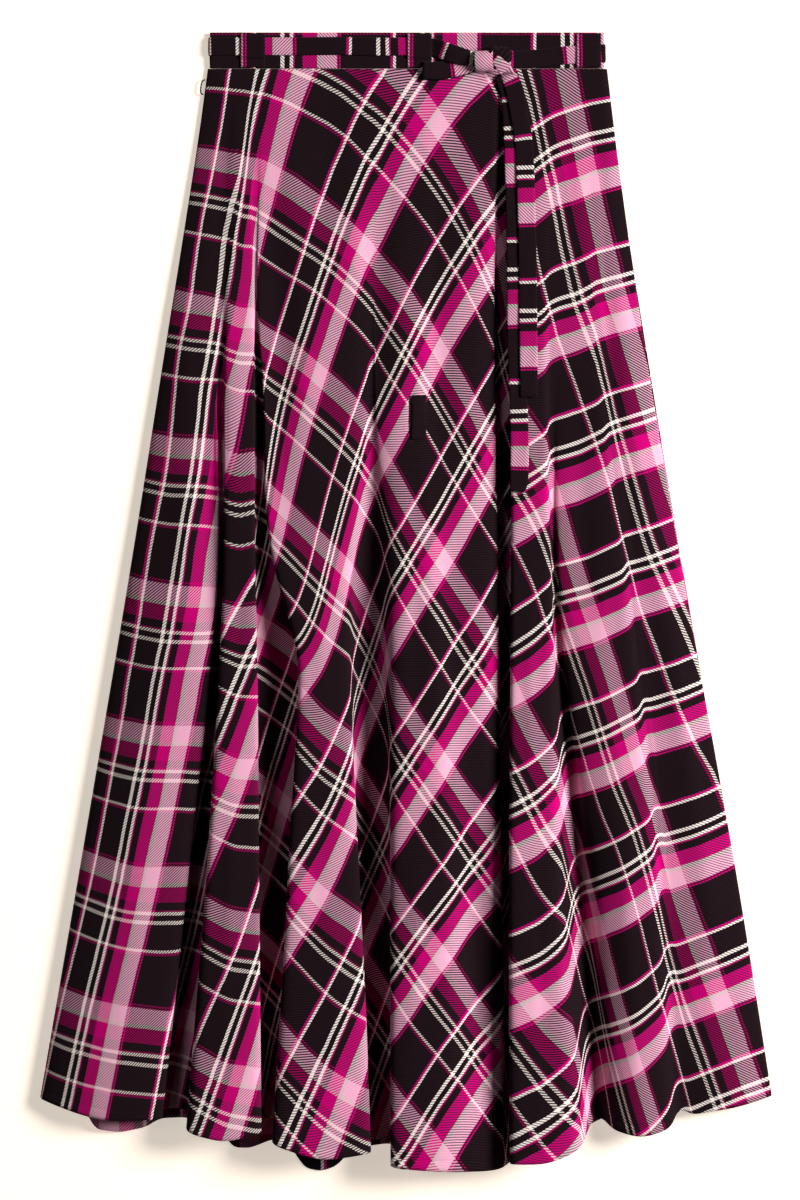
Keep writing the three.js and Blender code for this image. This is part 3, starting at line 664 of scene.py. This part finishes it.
def back_arch(column, t):
    """Height of the arches at these columns at fraction t."""
    folds = [row_at(rows, t) for rows in FOLDS]
    lows = [row_at(LEFT_EDGE, t)[1]] + [max(fold[3], fold[4]) for fold in folds]
    highs = [min(fold[1], fold[2]) for fold in folds] + [row_at(RIGHT_EDGE, t)[1]]
    rise = clamp01((t - BACK_ARCH_FROM) / (1 - BACK_ARCH_FROM))
    most = np.zeros_like(column)
    for flute, low, high in zip(FLUTES, lows, highs):
        low += BACK_ARCH_MARGIN_PX
        width = high - BACK_ARCH_MARGIN_PX - low
        if width <= 0:
            continue
        height = at_level(flute["height"], t) * BACK_ARCH_SHARE * MM
        height = min(height, width * SCALE * BACK_ARCH_SLOPE)
        f = np.clip((column - low) / width, 0, 1)
        most = np.maximum(most, rise * height * np.sin(np.pi * f) ** 2)
    return most


def back_grid():
    grid = []
    uv = []
    share = np.linspace(0, 1, BACK_COLUMNS + 1)
    hem_columns = mix(LEFT_EDGE[-1][1] + BACK_INSET_PX, RIGHT_EDGE[-1][1] - BACK_INSET_PX, share)
    hem = blurred(np.interp(hem_columns, *zip(*BACK_HEM)), HEM_BLUR)
    for r in range(BACK_ROWS + 1):
        t = r / BACK_ROWS
        left = row_at(LEFT_EDGE, t)[1] + BACK_INSET_PX
        right = row_at(RIGHT_EDGE, t)[1] - BACK_INSET_PX
        column = mix(left, right, share)
        row = mix(SEAM_ROW_PX, hem, t)
        height = SOLID_WALL / 2 + back_arch(column, t)
        grid.append(np.stack([x_of(column), y_of(row), height], 1))
        uv.append(np.stack([BACK_START_PX - column, BACK_HEM_PLACE + row - BACK_HEM_PX], 1) / REPEAT)
    return np.array(grid), np.array(uv)


skirt_back = shell_mesh("skirt_back_cloth", *back_grid(), BACK_WALL, "skirt_back")

# Waistband, belt and bow
BELT_PLAID = plaid_material("plaid_belt")
BELT = 1.2 * MM
BELT_WIDTH = 15.5 * MM
BELT_LEFT_ROW_PX = 47
BELT_RIGHT_ROW_PX = 54
BAND_LOW_Z = 1.5 * MM
BAND_HIGH_Z = 5.1 * MM
BAND_TURN = (BAND_HIGH_Z - BAND_LOW_Z) / 2
BAND_MIDDLE_Z = BAND_LOW_Z + BAND_TURN
GAP = 0.3 * MM
LOOP = 1.0 * MM
LOOP_WIDTH = 21 * MM
BLACK_PLACE = 96  # px into the repeat, just inside the widest black
UP_THE_SKIRT = np.array([0.0, 1, 0])
ACROSS = np.array([1.0, 0, 0])


def smooth_path(points, steps=8):
    """Catmull-Rom curve through rows of numbers."""
    p = np.array(points, dtype=float)
    padded = np.vstack([2 * p[0] - p[1], p, 2 * p[-1] - p[-2]])
    rows = []
    for i in range(len(p) - 1):
        a, b, c, d = padded[i:i + 4]
        for s in range(steps):
            f = s / steps
            rows.append(0.5 * (2 * b + (c - a) * f + (2 * a - 5 * b + 4 * c - d) * f * f
                               + (3 * b - a - 3 * c + d) * f ** 3))
    rows.append(p[-1])
    return np.array(rows)


def px_along(path):
    return run_along(path) / SCALE


def swept(name, rings, uv, material, node, closed=False):
    """Tube through rings of points (stations, round, 3), closed on itself or capped at both ends."""
    stations, around = rings.shape[:2]
    last = (stations - 1) * around
    faces = []
    for i in range(stations if closed else stations - 1):
        step = around if i < stations - 1 else -last
        for k in range(around):
            a = i * around + k
            b = i * around + (k + 1) % around
            faces.append((a, b, b + step, a + step))
    if not closed:
        faces.append(tuple(range(around - 1, -1, -1)))
        faces.append(tuple(range(last, last + around)))
    return add_mesh(name, rings.reshape(-1, 3), faces, uv.reshape(-1, 2), material, node)


# Section of a folded strap, in shares of its half width
STITCH_AT = 0.84
STITCH_HALF = 0.05
STITCH_DEPTH = 0.16 * MM
EDGE_THINNING = 0.62  # how much thinner its edges are, and how suddenly
EDGE_POWER = 9
TOP_STEPS = 18
UNDER_STEPS = 8
WAVE_LENGTH = 9 * MM  # soft waves along a strap, slanted across it
WAVE_SLANT = 2.2


def strap_section(thickness):
    """Across share and height of a folded strap's section, anticlockwise seen along the route."""
    def height(f):
        edge = (1 - EDGE_THINNING * abs(f) ** EDGE_POWER) * thickness / 2
        return edge - STITCH_DEPTH * math.exp(-((abs(f) - STITCH_AT) / STITCH_HALF) ** 2)
    top = [(f, height(f)) for f in np.linspace(1, -1, TOP_STEPS + 1)]
    under = [(f, -height(f)) for f in np.linspace(-1, 1, UNDER_STEPS + 3)[1:-1]]
    return top + under


def strap_mesh(name, path, widths, thickness, side, along, node,
               across=BLACK_PLACE, swap=False, roll=None, waves=0.0):
    """Folded strap along a path, with its width towards side, turned by roll in degrees.

    widths and along, the place in the repeat in px, are one number or one for each station.
    across is the place at one edge. swap lays the weft along the strap. waves is a height.
    """
    section = strap_section(thickness)
    tangent = unit(np.gradient(path, axis=0))
    sides = unit(side - tangent * (tangent @ side)[:, None])
    ups = np.cross(tangent, sides)
    if roll is not None:
        turned = np.radians(roll)[:, None]
        sides, ups = (sides * np.cos(turned) + ups * np.sin(turned),
                      ups * np.cos(turned) - sides * np.sin(turned))
    run = run_along(path)
    widths = widths + 0 * run
    along = along + 0 * run
    rings = []
    uv = []
    for f, height in section:
        wave = 0 * run
        if height > 0:
            wave = waves * np.sin(run / WAVE_LENGTH + WAVE_SLANT * f) * (1 - f ** 2)
        rings.append(path + sides * (f * widths / 2)[:, None] + ups * (height + wave)[:, None])
        cross = across + (f + 1) * widths / 2 / SCALE
        pair = (cross, along) if swap else (along, cross)
        uv.append(np.stack([pair[0] / REPEAT, pair[1] / REPEAT], 1))
    return swept(name, np.stack(rings, 1), np.stack(uv, 1), BELT_PLAID, node)


BAND_STEPS = 120
BAND_WALL = 1.3 * MM
BAND_WAVE = 0.25 * MM  # soft waves along the band
BAND_WAVE_PX = 17
BAND_WAVE_SLANT = 3
BAND_ACROSS = 140  # px of the band in one repeat
BAND_WHITE_PX = 394.3  # column of a first white line
BAND_TOP_PLACE = 88  # px into the repeat at its top edge

# Down its outside, round its low edge and up its inside: shares of the height and of the wall
BAND_SECTION = [
    (0.012, 0.35), (0, 0.12), (0.02, 0.0), (0.06, -0.02), (0.085, 0.10), (0.11, 0.0), (0.3, -0.06),
    (0.5, -0.1), (0.7, -0.06), (0.88, 0.0), (0.91, 0.10), (0.935, 0.0), (0.975, 0.03), (0.995, 0.3),
    (1, 0.6), (0.97, 1), (0.5, 1), (0.03, 1), (0, 0.75),
]


def side_turn(side, radius, steps=12):
    """Points on a half circle round one side of the band, from its top to its underside."""
    centre = x_of(BAND_LEFT_PX) + BAND_TURN if side < 0 else x_of(BAND_RIGHT_PX) - BAND_TURN
    angles = math.pi / 2 - side * math.pi * np.linspace(0, 1, steps + 1)
    return [(centre + radius * math.cos(a), BAND_MIDDLE_Z + radius * math.sin(a)) for a in angles]


def band_ring():
    """The flattened loop of the waistband, closed, clockwise seen from the hem."""
    left = side_turn(-1, BAND_TURN)
    right = side_turn(1, BAND_TURN)
    columns = np.linspace(0, 1, BAND_STEPS + 1)[1:-1]
    top = [(mix(left[0][0], right[0][0], f), BAND_HIGH_Z) for f in columns]
    under = [(mix(right[-1][0], left[-1][0], f), BAND_LOW_Z) for f in columns]
    return np.array(top + right + under + left[::-1])


def waistband_piece():
    """Two walls of the ring, joined at its top and low edge."""
    ring = band_ring()
    along = np.roll(ring, -1, axis=0) - np.roll(ring, 1, axis=0)
    outward = unit(np.stack([-along[:, 1], along[:, 0]], 1))
    column = column_of(ring[:, 0])
    rings = []
    uv = []
    for down, inward in BAND_SECTION:
        row = mix(BAND_TOP_PX, BAND_LOW_PX, down) + 0 * column
        soft = BAND_WAVE * np.sin(column / BAND_WAVE_PX + BAND_WAVE_SLANT * down)
        soft *= (ring[:, 1] > BAND_MIDDLE_Z) & (inward < 0.5)
        place = ring - outward * (BAND_WALL * inward) + outward * soft[:, None]
        rings.append(np.stack([place[:, 0], y_of(row), place[:, 1]], 1))
        u = (column - BAND_WHITE_PX) / BAND_ACROSS + FIRST_WHITE
        uv.append(np.stack([u, (BAND_TOP_PLACE + row - BAND_TOP_PX) / REPEAT], 1))
    return swept("waistband_cloth", np.stack(rings), np.stack(uv), PLAID, "waistband",
                 closed=True)


waistband_piece()

# Belt behind the band
BELT_FRONT_Z = BAND_HIGH_Z + GAP + BELT / 2
BELT_TURN = BAND_TURN + GAP + BELT / 2
BELT_WAVE = 0.14 * MM
BACK_STRETCH_INSET = 12 * MM
BACK_STRETCH_PLACE = 20  # px into the repeat at its left end
back_left = x_of(BAND_LEFT_PX) + BACK_STRETCH_INSET
back_right = x_of(BAND_RIGHT_PX) - BACK_STRETCH_INSET
left_y = y_of(BELT_LEFT_ROW_PX)
right_y = y_of(BELT_RIGHT_ROW_PX)
path = smooth_path([[back_left + GAP, left_y, BELT / 2], [0, mix(left_y, right_y, 0.5), BELT / 2],
                    [back_right - GAP, right_y, BELT / 2]], steps=20)
strap_mesh("belt_behind", path, BELT_WIDTH, BELT, UP_THE_SKIRT, px_along(path) + BACK_STRETCH_PLACE,
           "belt_back")

# Belt in front, from each side to the knot: column, row, rise in mm off the band
LEFT_STRETCH = [
    [232, 47, 0], [253, 47.1, 0], [275, 47, 0], [300, 47, 0], [340, 46.6, 0.1], [380, 47.4, 0],
    [405, 47, 0], [420, 47, 0], [432, 48, 0], [436, 49, 0.9], [441, 50.5, 2.6], [448, 53.5, 4.8],
    [456, 56, 5.4], [465, 58.5, 5.6], [474.5, 60, 5.6],
]
RIGHT_STRETCH = [
    [501.5, 60, 0.8], [508, 60, 0.7], [516, 60, 0.3], [524, 60, 0.1], [540, 59, 0.1], [556, 57, 0],
    [572, 55.5, 0], [590, 55.5, 0], [597, 54.5, 0],
]
BELT_WHITE_PX = 350  # column of a first white line on the left stretch
UNDER_CARRIER_PX = 420  # past here the strap's next layer shows, its yarns further on
LAYER_SHIFT = 44.5
RIGHT_START = 11.75  # px into the repeat where the right stretch leaves the knot


def front_stretch(rows):
    return [[x_of(column), y_of(row), BELT_FRONT_Z + rise * MM] for column, row, rise in rows]


def turn_points(side, place):
    return [[x, place, z] for x, z in side_turn(side, BELT_TURN, steps=8)]


def belt_path(rows):
    """Smooth route that nowhere dips below the surface."""
    dense = smooth_path(rows, steps=5)
    dense[:, 2] = np.maximum(dense[:, 2], BELT / 2)
    return dense


def pinched(path, start, full, least):
    """Widths that narrow to a share of the belt's between two picture columns."""
    column = column_of(path[:, 0])
    share = np.clip((column - start) / (full - start), 0, 1)
    front = path[:, 2] > BELT_FRONT_Z - 0.1 * MM
    return BELT_WIDTH * np.where(front, 1 - (1 - least) * share ** 2, 1)


left_path = belt_path([[back_left, left_y, BELT / 2]] + turn_points(-1, left_y)[::-1]
                      + front_stretch(LEFT_STRETCH))
left_run = px_along(left_path)
left_column = column_of(left_path[:, 0])
in_front = left_path[:, 2] > BAND_HIGH_Z
white_at = np.interp(BELT_WHITE_PX, left_column[in_front], left_run[in_front])
layer = np.where((left_column > UNDER_CARRIER_PX) & in_front, LAYER_SHIFT, 0)
strap_mesh("belt_left_strap", left_path, pinched(left_path, start=448, full=474, least=0.78), BELT,
           UP_THE_SKIRT, left_run + layer - white_at + FIRST_WHITE_PX + 3 * REPEAT, "belt_left",
           waves=BELT_WAVE)
right_path = belt_path(front_stretch(RIGHT_STRETCH) + turn_points(1, right_y)
                       + [[back_right, right_y, BELT / 2]])
strap_mesh("belt_right_strap", right_path, pinched(right_path, start=518, full=500, least=0.8), BELT,
           UP_THE_SKIRT, RIGHT_START - px_along(right_path), "belt_right", waves=BELT_WAVE)

# Belt loops: picture row, and 1 where the loop is raised over the belt
LOOP_LOW_Z = BAND_HIGH_Z + GAP + LOOP / 2
LOOP_HIGH_Z = BAND_HIGH_Z + 2 * GAP + BELT + LOOP / 2
LOOP_ROUTE = [
    [34, 0], [35, 0.05], [36.8, 0.95], [40, 1], [47, 1.1], [54, 1], [57.4, 0.95], [59.4, 0.05],
    [63, 0], [67.8, 0],
]
LOW_LOOP_ROUTE = [
    [34, 0], [38, 0], [42.8, 0.03], [44.8, 0.95], [49, 1], [55, 1.1], [62, 1], [66.1, 0.97], [68.2, 0.05],
]
LOOPS = {"left": [253, LOOP_ROUTE], "centre": [419.5, LOOP_ROUTE], "right": [588.5, LOW_LOOP_ROUTE]}
LOOP_EDGE_PLACE = 84.6  # px into the repeat at the loop's left edge: two thin lines, then black
for name, (column, rows) in LOOPS.items():
    route = [[x_of(column), y_of(row), mix(LOOP_LOW_Z, LOOP_HIGH_Z, up)] for row, up in rows]
    path = smooth_path(route, steps=6)
    strap_mesh("carrier_" + name, path, LOOP_WIDTH, LOOP, ACROSS, BLACK_PLACE + px_along(path),
               "belt_loop_" + name, across=LOOP_EDGE_PLACE, swap=True)


# Knot: two soft dark bodies, a lilac wrap over the left one and a small white twist on top;
# middle in picture px, width and height in mm, and low and high in mm off the floor
BODY_STACKS = 40
BODY_AROUND = 64
BODY_SQUARE = 0.68  # power that makes the round body blocky
BODY_SIZE = 0.94
BODY_DEEP = (0.05, 7, 2.5)  # creases: share of the size, and waves along the body and across it
BODY_FINE = (0.03, 13, -4)
BODY_PLAID = 0.5  # the plaid on it is stretched, and starts this far past BLACK_PLACE
BODY_START = 0.08
BODIES = [
    {"column": 488, "row": 62, "width": 24, "height": 16, "low": 5.8, "high": 15.5},
    {"column": 501, "row": 56.5, "width": 19, "height": 16, "low": 6.4, "high": 14.5},
]


def square(value):
    return np.copysign(abs(value) ** BODY_SQUARE, value)


def body_crease(crease, x, y):
    depth, along, across = crease
    return depth * np.sin(along * y + across * x)


def knot_body(name, body):
    """Soft block with creases that run along it."""
    polar = np.linspace(0, np.pi, BODY_STACKS + 1)[:, None]
    turn = 2 * np.pi * np.arange(BODY_AROUND) / BODY_AROUND
    x = square(np.sin(polar) * np.cos(turn))
    y = square(np.cos(polar) + 0 * turn)
    z = square(np.sin(polar) * np.sin(turn))
    size = BODY_SIZE + body_crease(BODY_DEEP, x, y) * (1 - abs(y)) + body_crease(BODY_FINE, x, y)
    points = np.stack([x_of(body["column"]) + x * body["width"] * MM / 2,
                       y_of(body["row"]) + y * size * body["height"] * MM / 2,
                       mix(body["low"], body["high"], (z * size + 1) / 2) * MM], 2).reshape(-1, 3)
    faces = []
    rows = BODY_STACKS - 1
    for i in range(rows - 1):
        for k in range(BODY_AROUND):
            a = i * BODY_AROUND + k
            b = i * BODY_AROUND + (k + 1) % BODY_AROUND
            faces.append((a, a + BODY_AROUND, b + BODY_AROUND, b))
    # One point closes each end
    ring = points[BODY_AROUND:-BODY_AROUND]
    count = len(ring)
    last = (rows - 1) * BODY_AROUND
    for k in range(BODY_AROUND):
        following = (k + 1) % BODY_AROUND
        faces.append((count, k, following))
        faces.append((count + 1, last + following, last + k))
    every = np.vstack([ring, points[0], points[-1]])
    places = (every[:, :2] - every[0, :2]) * BODY_PLAID / SCALE / REPEAT
    places += BLACK_PLACE / REPEAT + BODY_START
    return add_mesh(name, every, faces, places, BELT_PLAID, "belt_knot")


for i, body in enumerate(BODIES):
    knot_body(f"knot_body_{i + 1}", body)

# Column, row, height in mm, width in mm
WRAP = [
    [484, 52.6, 8.5, 14.5], [483.6, 53, 13, 15.4], [483.4, 56.5, 16.2, 16.2], [483.4, 63, 17.6, 16.4],
    [483.8, 69, 16, 16], [484.2, 72, 12.6, 15.4], [484.2, 72, 8, 14.5],
]
WRAP_EDGE_PLACE = 68.6  # px into the repeat at the wrap's left edge: a little grey, then lilac
TWIST = [
    [489, 56, 14.5, 2.4], [490.5, 52.4, 16, 3], [493.5, 50.4, 16.4, 3.2], [497, 50.4, 15, 2.8],
    [498.5, 53, 12, 2],
]
TWIST_PLACE = 6.4  # px into the repeat at its place along the warp


def picture_strap(name, rows, thickness, side, start, way, node, **more):
    """Strap from its table; way is how its place in the repeat runs on from start: 1, 0 or -1."""
    dense = smooth_path(rows)
    path = np.stack([x_of(dense[:, 0]), y_of(dense[:, 1]), dense[:, 2] * MM], 1)
    roll = dense[:, 4] if dense.shape[1] > 4 else None
    strap_mesh(name, path, dense[:, 3] * MM, thickness, side, start + way * px_along(path), node,
               roll=roll, **more)


picture_strap("knot_wrap", WRAP, LOOP, ACROSS, BLACK_PLACE, 1, "belt_knot",
              across=WRAP_EDGE_PLACE, swap=True, waves=0.35 * MM)
picture_strap("knot_twist", TWIST, LOOP, -UP_THE_SKIRT, TWIST_PLACE, 0, "belt_knot", waves=0.3 * MM)

# The bow's one loop, under the belt: as the wrap, and roll in degrees
BOW_ROWS = [
    [474, 66.5, 6.7, 9, 0], [466, 68.5, 6.5, 12, 4], [452, 70.5, 6.5, 15, 3], [442, 71.5, 6.8, 15.5, 0],
    [434, 71.5, 7.4, 15.5, -2], [428, 71.5, 7.4, 15.5, -4], [424.5, 71.5, 7.6, 15.5, -4],
    [423, 71.5, 8.5, 15.5, -4], [424.5, 71.5, 9.4, 15.5, -4], [428, 71.5, 9.6, 15.5, -4],
    [436, 71.5, 9.5, 15.2, -2], [448, 70.8, 8.9, 14.6, 0], [456, 70, 8.8, 13.2, 3],
    [466, 68.5, 8.8, 10.6, 4], [474, 66.5, 8.9, 8, 0],
]
BOW_START = 170.5  # px into the repeat where it leaves the knot
picture_strap("bow_left", BOW_ROWS, BELT * 0.9, -UP_THE_SKIRT, BOW_START, -1, "bow_loop_left",
              waves=0.3 * MM)


REACH_X = BELT_WIDTH / 2 + 2 * MM
REACH_Y = 24 * MM


def rest_height(x, y):
    """Height of the front panel's outer face round a place."""
    flat = FRONT_GRID.reshape(-1, 3)
    near = flat[(abs(flat[:, 0] - x) < REACH_X) & (abs(flat[:, 1] - y) < REACH_Y)]
    return max(BAND_HIGH_Z, near[:, 2].max() + CLOTH / 2 if len(near) else 0)


# Tie ends down the front: column, row, width in mm, roll in degrees
TIE_ENDS = {
    "rear": [
        [499, 75.4, 9, 0], [504, 84, 12, 2], [510, 100, 15.5, 3], [512.5, 140, 15.5, 1],
        [514, 190, 15.5, -2], [515, 240, 15.5, 0], [515.5, 290, 15.5, 2], [516, 340, 15.5, 0],
        [517.5, 390, 15.5, -2], [519, 440, 15.5, 1], [518.5, 480, 15.5, 0], [516, 492, 12, 0],
    ],
    "front": [
        [494, 60, 8, 6], [500, 66, 10, 6], [508, 76, 13, 4], [514, 90, 15.5, 2],
        [519, 115, 15.5, 0], [523.5, 145, 15.5, 2], [525, 175, 15.5, -1], [526, 205, 15.5, -2],
        [527, 250, 15.5, 1], [527.5, 300, 15.5, 2], [528, 350, 15.5, -1], [528.5, 398, 15, 0],
    ],
}
TIE_WHITES = {"rear": [100.5, 141.5], "front": [139.5, 143.5]}  # row of a white line, and the repeat
TIE_BLUR = 13  # stations
KNOT_ROW_PX = 74  # above this row the front end comes over the knot
OVER_KNOT = 15.5 * MM


def tie_ends():
    """Two ends that rest on the cloth, the front one on the rear one."""
    rear = None
    for name, rows in TIE_ENDS.items():
        dense = smooth_path(rows, steps=12)
        x = x_of(dense[:, 0])
        y = y_of(dense[:, 1])
        z = np.array([rest_height(*place) for place in zip(x, y)]) + GAP + BELT / 2
        if rear:
            z = np.maximum(z, np.interp(dense[:, 1], *rear) + GAP + BELT)
            over = dense[:, 1] < KNOT_ROW_PX
            z[over] = np.maximum(z[over], OVER_KNOT)
        z = np.maximum(z, blurred(z, TIE_BLUR))
        rear = (dense[:, 1], z)
        path = np.stack([x, y, z], 1)
        white, repeat = TIE_WHITES[name]
        along = ((dense[:, 1] - white) / repeat) * REPEAT + FIRST_WHITE_PX
        strap_mesh("tie_" + name, path, dense[:, 2] * MM, BELT, ACROSS, along, "tie_end_" + name,
                   roll=dense[:, 3], waves=0.1 * MM)


tie_ends()

# Thread loop at the left side seam, in mm; top and low are picture rows, ply a share of the radius
THREAD = {"radius": 0.6, "top": 80, "low": 95, "reach": 3, "height": 3.4, "clear": 1.3, "slant": 1.6,
          "ply": 0.16, "turn": 0.9}
THREAD_ROUTE = [(0, 0), (0.8, 0.12), (1, 0.5), (0.8, 0.88), (0, 1)]  # shares of its reach and length
THREAD_SIDES = 12


def plain_material(name, values):
    nodes = Nodes(name)
    nodes.look(values)
    return nodes.material


def thread_piece():
    start = x_of(row_at(LEFT_EDGE, 0.02)[1]) - THREAD["clear"] * MM
    route = []
    for out, down in THREAD_ROUTE:
        x = start - out * THREAD["reach"] * MM - down * THREAD["slant"] * MM
        route.append([x, y_of(mix(THREAD["top"], THREAD["low"], down)), THREAD["height"] * MM])
    path = smooth_path(route, steps=16)
    tangent = unit(np.gradient(path, axis=0))
    up = np.array([0, 0, 1.0])
    across = np.cross(tangent, up)
    run = run_along(path)
    rings = []
    for k in range(THREAD_SIDES):
        angle = 2 * math.pi * k / THREAD_SIDES
        ply = 1 + THREAD["ply"] * np.cos(2 * (angle - run / (THREAD["turn"] * MM)))
        radius = THREAD["radius"] * MM * ply
        sideways = across * (radius * math.cos(angle))[:, None]
        rings.append(path + sideways + up * (radius * math.sin(angle))[:, None])
    rings = np.stack(rings, 1)
    uv = np.zeros(rings.shape[:2] + (2,))
    black = plain_material("thread_black", {"Base Color": srgb(24, 20, 22), "Roughness": 0.85})
    return swept("thread_loop", rings, uv, black, "thread_loop_left")


thread_piece()

# Floor, light and camera: sizes in metres, angles in degrees and power in watts
FLOOR_REACH = 6
# The floor's emission is painted light: a warm glow of its own that lifts its shadows and tints them beige
FLOOR_LOOK = {"Base Color": srgb(238, 226, 210), "Roughness": 0.95,
              "Emission Color": (1.0, 0.9, 0.79, 1), "Emission Strength": 0.57}
WORLD_COLOUR = (1, 0.985, 0.97, 1)
WORLD_STRENGTH = 0.006
LIGHT_DISTANCE = 5
# Azimuth, elevation, size, power and colour
LIGHTS = {"key": (14, 35, 2.1, 430, (1, 0.985, 0.96)), "fill": (165, 50, 1.8, 22, (1, 1, 1))}
PICTURE_PX = (800, 1200)
CAMERA_DISTANCE = 5.0


def add_floor():
    """Plain pale floor; a little light of its own keeps its shadows soft and pale."""
    material = plain_material("pale_floor", FLOOR_LOOK)
    mesh = bpy.data.meshes.new("floor")
    corners = [(-1, -1), (1, -1), (1, 1), (-1, 1)]
    mesh.from_pydata([(x * FLOOR_REACH, y * FLOOR_REACH, 0) for x, y in corners], [], [(0, 1, 2, 3)])
    mesh.materials.append(material)
    placed("floor", mesh)


def add_light(name, azimuth, elevation, size, power, colour):
    """Disk of light that faces the origin."""
    data = bpy.data.lights.new(name, "AREA")
    data.shape = "DISK"
    data.size = size
    data.energy = power
    data.color = colour
    a = math.radians(azimuth)
    e = math.radians(elevation)
    way = Vector((math.cos(e) * math.cos(a), math.cos(e) * math.sin(a), math.sin(e)))
    light = placed(name, data)
    light.location = way * LIGHT_DISTANCE
    light.rotation_euler = (-way).to_track_quat("-Z", "Y").to_euler()


def add_world():
    world = bpy.data.worlds.new("studio")
    world.use_nodes = True
    background = world.node_tree.nodes["Background"]
    background.inputs["Color"].default_value = WORLD_COLOUR
    background.inputs["Strength"].default_value = WORLD_STRENGTH
    bpy.context.scene.world = world


def add_camera():
    """Camera straight above, with the reference picture's framing."""
    width, height = PICTURE_PX
    data = bpy.data.cameras.new("camera")
    data.sensor_fit = "VERTICAL"
    data.sensor_height = 36
    data.lens = data.sensor_height * CAMERA_DISTANCE / (height * SCALE)
    data.clip_end = 50
    camera = placed("camera", data)
    camera.location = (x_of(width / 2), y_of(height / 2), CAMERA_DISTANCE)
    bpy.context.scene.camera = camera


add_floor()
add_world()
for name, values in LIGHTS.items():
    add_light(name, *values)
add_camera()
bpy.context.scene.view_settings.view_transform = "Standard"
